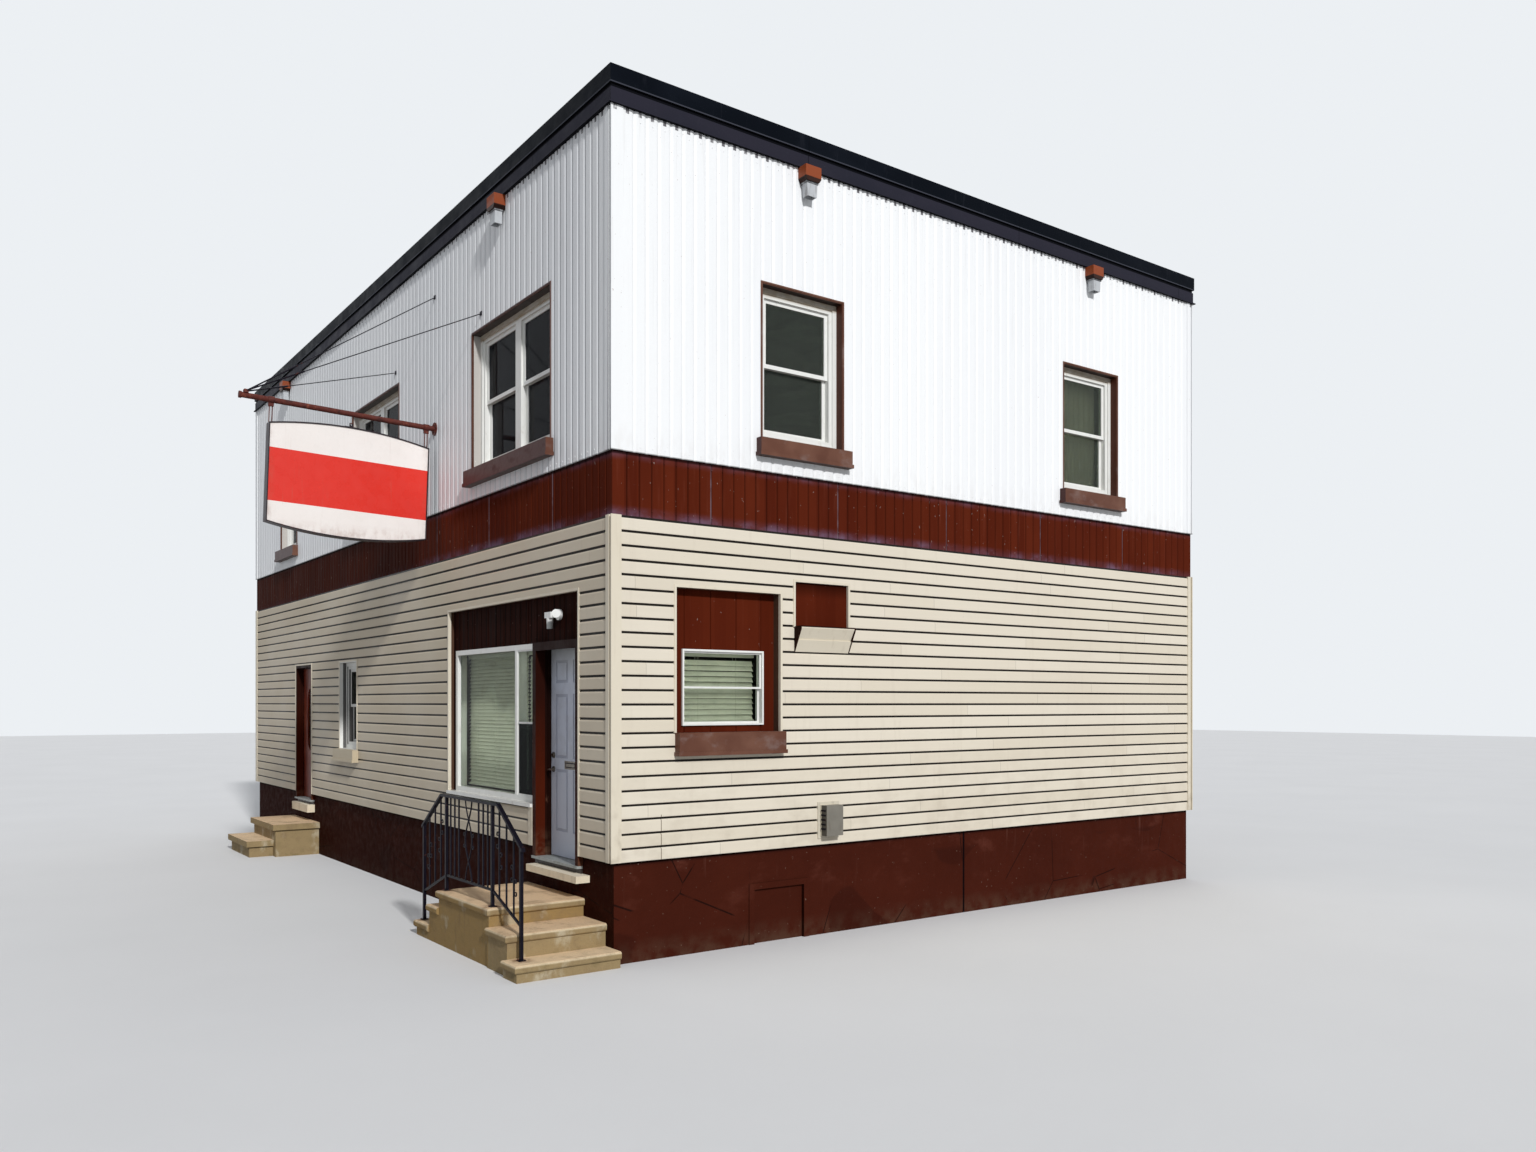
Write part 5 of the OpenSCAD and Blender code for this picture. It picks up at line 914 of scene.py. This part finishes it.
def curtain(name, face, x0, x1, z0, z1, inside, folds, seed):
    """A hung curtain with soft folds on a rod."""
    rng = random.Random(seed)
    out = axes(face)[1]
    # Points in a fold, rows of cells, mean depth of a fold and radius of the rod.
    per, rows, deep, rod_r = 10, 14, 0.022, 0.009
    n = folds * per
    depths = [deep * rng.uniform(0.6, 1.3) for _ in range(folds + 1)]

    def line(level):
        pts = []
        for i in range(n + 1):
            t = i / n
            d = depths[min(i // per, folds)]
            wave = math.sin(t * folds * math.tau + 0.5 * math.sin(3 * t + level))
            pts.append((x0 + (x1 - x0) * t, inside + d * wave * (0.75 + 0.25 * level)))
        return pts

    bm = bmesh.new()
    grid = [[bm.verts.new(at(face, x, -d, z0 + (z1 - z0) * r / rows)) for x, d in line(1 - r / rows)]
            for r in range(rows + 1)]
    for r in range(rows):
        for i in range(n):
            bm.faces.new((grid[r][i], grid[r][i + 1], grid[r + 1][i + 1], grid[r + 1][i]))
    obj = piece(name, bm, CLOTH, "building", True)
    rod = bmesh.new()
    ring = [out * (rod_r * math.cos(t)) + Vector((0, 0, rod_r * math.sin(t)))
            for t in (k * math.tau / 12 for k in range(12))]
    sweep(rod, ring, [at(face, x, -inside, z1 + 0.004) for x in (x0 - 0.06, x1 + 0.06)])
    rail = piece(name + "_rod", rod, WHITE, "building")


def dressings():
    """Blinds and curtains, set from the windows' own boxes or the window centres."""
    # The shop's wide pane and its narrow window, left and right of the mullion.
    shop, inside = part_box("shop_window_frame"), 0.225
    x0, x1 = (v - (CORNER.x - FRONT) for v in (shop[0].x, shop[1].x))
    z0, z1 = shop[0].z, shop[1].z - 0.05
    blind("shop_blind", 0, x0 + 0.09, x1 - 0.58, z0 + 0.10, z1, inside, pitch=0.04, seed=3)
    blind("shop_side_blind", 0, x1 - 0.53, x1 - 0.09, z0 + 0.80, z1, inside, pitch=0.04, seed=4)
    # The small window in the ribbed infill of the side street, from the infill's edge.
    niche = 0.662 + 0.12
    blind("niche_blind", 1, niche + 0.03, niche + 0.89, 2.12, 2.78, 0.235, pitch=0.052, width=0.055, seed=5)
    # Middles of the second window of the side street and of the middle pair of the front.
    side, front = 6.515, FRONT - 6.5
    curtain("side_curtain", 1, side - 0.44, side + 0.42, CURTAIN_FOOT, CURTAIN_ROD, CURTAIN_BACK, 9, 6)
    curtain("front_curtain", 0, front - 0.85, front + 0.85, CURTAIN_FOOT, CURTAIN_ROD, CURTAIN_BACK, 14, 8)


def bar(bm, face, x, z, size, out):
    """A box on a face: from x and z, of the given width and height, from out[0] to out[1]."""
    along, normal = axes(face)
    w, h = size
    profile = [along * a + normal * b for a, b in ((0, out[0]), (w, out[0]), (w, out[1]), (0, out[1]))]
    sweep(bm, profile, [at(face, x, 0, z), at(face, x, 0, z + h)])


def hexagon(a, b, r):
    """Six points on a circle spanned by two directions."""
    return [a * (r * math.cos(t)) + b * (r * math.sin(t)) for t in (k * math.tau / 6 for k in range(6))]


def screw_rows(name, mat, levels, edge, groove, inside):
    """Hex screw heads on the flats between the grooves of a ribbed sheet, one row for each level."""
    bm = bmesh.new()
    head = 0.0055
    for face in range(4):
        along = axes(face)[0]
        wide = (FRONT if face in (0, 2) else SIDE) - 2 * edge
        count = int((wide - groove) / RIB)
        start = edge + (wide - (count - 1) * RIB) / 2
        ring = hexagon(along, Vector((0, 0, 1)), head)
        for i in range(count - 1):
            for z in levels:
                x = start + (i + 0.5) * RIB
                sweep(bm, ring, [at(face, x, -inside - 0.001, z), at(face, x, -inside + 0.004, z)])
    piece(name, bm, mat, "building")


def bolts():
    """Bolt heads on the sign's wall plate and on the foot plates of the railing."""
    along, out = axes(0)
    up = Vector((0, 0, 1))
    bm = bmesh.new()
    plate_face, head, tall = 0.0115, 0.0095, 0.0085
    for k in range(4):
        t = math.pi / 4 + k * math.pi / 2
        x, z = WALL_PLATE[0] + BOLT_RING * math.cos(t), WALL_PLATE[1] + BOLT_RING * math.sin(t)
        c = at(0, x, plate_face, z)
        sweep(bm, hexagon(along, up, head), [c, c + out * tall])
    piece("wall_plate_bolts", bm, RUST, "building")
    bm = bmesh.new()
    offset, plate_top, head, tall = 0.022, 0.0055, 0.0065, 0.006
    for x, y, z in FEET:
        for s in (-offset, offset):
            c = CORNER + Vector((x + s, y + s, z + plate_top))
            sweep(bm, hexagon(along, out, head), [c, c + up * tall])
    piece("foot_plate_bolts", bm, RUST, "building")


def fittings():
    """Small pieces on the side wall: the sheet brackets and drip strip of the vent skirt, meter louvres."""
    bm = bmesh.new()
    out = axes(1)[1]
    # Out of the wall and up: the outline of a bracket, then that of a louvre.
    bracket = ((0.0, 2.80), (0.105, 3.020), (0.105, 3.046), (0.0, 3.046))
    louvre = ((0.030, 0.0), (0.092, 0.0), (0.092, 0.018), (0.030, 0.018))
    for x in (2.006, 2.692):
        side = [out * a + Vector((0, 0, z)) for a, z in bracket]
        sweep(bm, side, [at(1, x, 0, 0), at(1, x + 0.012, 0, 0)])
    bar(bm, 1, 2.020, 3.041, (0.670, 0.010), (0.001, 0.106))
    piece("vent_skirt_brackets", bm, BROWN_PAINT, "building")
    bm = bmesh.new()
    for i in range(5):
        slat = [out * a + Vector((0, 0, z)) for a, z in louvre]
        level = 1.05 + 0.045 * i
        sweep(bm, slat, [at(1, 2.325, 0, level), at(1, 2.317, 0, level)])
    piece("meter_louvres", bm, IRON, "building")


def mail_slot():
    """Mail slot in the middle of the shop door: a plate and its flap, with a dark iron bar behind them as
    painted shade in the gap round the flap.
    """
    low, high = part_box("shop_door")
    height = 0.89
    x, z = (low.x + high.x) / 2 - (CORNER.x - FRONT), low.z + height
    leaf = CORNER.y - low.y
    # Width, height and rise over the leaf.
    plate, gap, flap = (0.25, 0.080, 0.003), (0.21, 0.050, 0.0040), (0.185, 0.030, 0.0065)
    # The dark iron bar behind the plate is painted shade: it stands for the shade in the gap round the flap.
    for name, mat, slot, sizes in (("mail_slot", STEEL, "door_metal", (plate, flap)),
                                   ("mail_slot_gap_shade", IRON, "wrought_iron", (gap,))):
        bm = bmesh.new()
        for w, h, rise in sizes:
            bar(bm, 0, x - w / 2, z - h / 2, (w, h), (leaf - 0.010, leaf + rise))
        piece(name, bm, mat, "shop_door_leaf")


dressings()
fittings()
mail_slot()
bolts()
screw_rows("cladding_screws", WHITE_RIB, (BAND_TOP + 0.05, CLADDING_TOP - 0.09),
           0.112, 0.046, 0.0)
screw_rows("band_screws", BROWN_RIB, (SIDING_TOP + 0.06, BAND_TOP - 0.06),
           BAND_BACK, 0.026, BAND_BACK)

# ---------------------------------------------------------------- stage, light and camera


def floor():
    """A pale ground that lights the object as a mid grey."""
    m = Mat("pale_floor", 0.9)
    path = m.add("LightPath").outputs
    seen = m.either(path["Is Camera Ray"], m.either(path["Is Glossy Ray"], path["Is Transmission Ray"]))
    pale = m.mix(m.noise(0.4, detail=3), (0.84, 0.84, 0.84), (0.78, 0.78, 0.78))
    color = m.mix(seen, (0.50, 0.50, 0.50), pale)
    m.bump(m.noise(6, detail=3), 0.002)
    mesh = bpy.data.meshes.new("ground_plane")
    r = 80
    mesh.from_pydata([(-r, -r, 0), (r, -r, 0), (r, r, 0), (-r, r, 0)], [], [(0, 1, 2, 3)])
    obj = bpy.data.objects.new("ground_plane", mesh)
    mesh.materials.append(m.done(color))
    bpy.context.scene.collection.objects.link(obj)


def sun(name, direction, strength, angle):
    """A sun lamp that shines along the direction."""
    light = bpy.data.lights.new(name, "SUN")
    light.energy = strength
    light.angle = math.radians(angle)
    obj = bpy.data.objects.new(name, light)
    obj.rotation_euler = Vector(direction).to_track_quat("-Z", "Y").to_euler()
    bpy.context.scene.collection.objects.link(obj)


def world():
    """Soft light from all round; camera, mirror and glass rays see a pale backdrop."""
    light, backdrop = (0.33, 0.345, 0.37, 1), (0.84, 0.87, 0.90, 1)
    w = bpy.data.worlds.new("studio")
    bpy.context.scene.world = w
    w.use_nodes = True
    tree = w.node_tree
    nodes, links = tree.nodes, tree.links
    back = nodes["Background"]
    back.inputs["Strength"].default_value = 1.0
    path = nodes.new("ShaderNodeLightPath")
    rays = [path.outputs["Is %s Ray" % kind] for kind in ("Camera", "Glossy", "Transmission")]
    seen = rays[0]
    for ray in rays[1:]:
        either = nodes.new("ShaderNodeMath")
        either.operation = "MAXIMUM"
        links.new(seen, either.inputs[0])
        links.new(ray, either.inputs[1])
        seen = either.outputs[0]
    mix = nodes.new("ShaderNodeMix")
    mix.data_type = "RGBA"
    mix.inputs[6].default_value = light
    mix.inputs[7].default_value = backdrop
    links.new(seen, mix.inputs[0])
    links.new(mix.outputs[2], back.inputs["Color"])


def camera():
    """The photo's view: lens and place from the vanishing points of the walls."""
    wide, focal, rise, film = 1536, 1153, 127, 36
    eye, look = Vector((8.89, -4.84, 2.30)), (-0.806, 0.592)
    cam = bpy.data.cameras.new("photo_view")
    cam.lens = focal / wide * film
    cam.sensor_width = film
    cam.shift_y = rise / wide
    cam.clip_end = 300
    obj = bpy.data.objects.new("photo_view", cam)
    obj.location = CORNER + eye
    obj.rotation_euler = (math.pi / 2, 0, math.atan2(look[1], look[0]) - math.pi / 2)
    bpy.context.scene.collection.objects.link(obj)
    bpy.context.scene.camera = obj


floor()
world()
sun("key", (-0.86, 0.16, -0.48), 2.6, 4)
sun("fill", (0.75, -0.45, -0.48), 0.30, 60)
camera()
bpy.context.scene.view_settings.view_transform = "Standard"
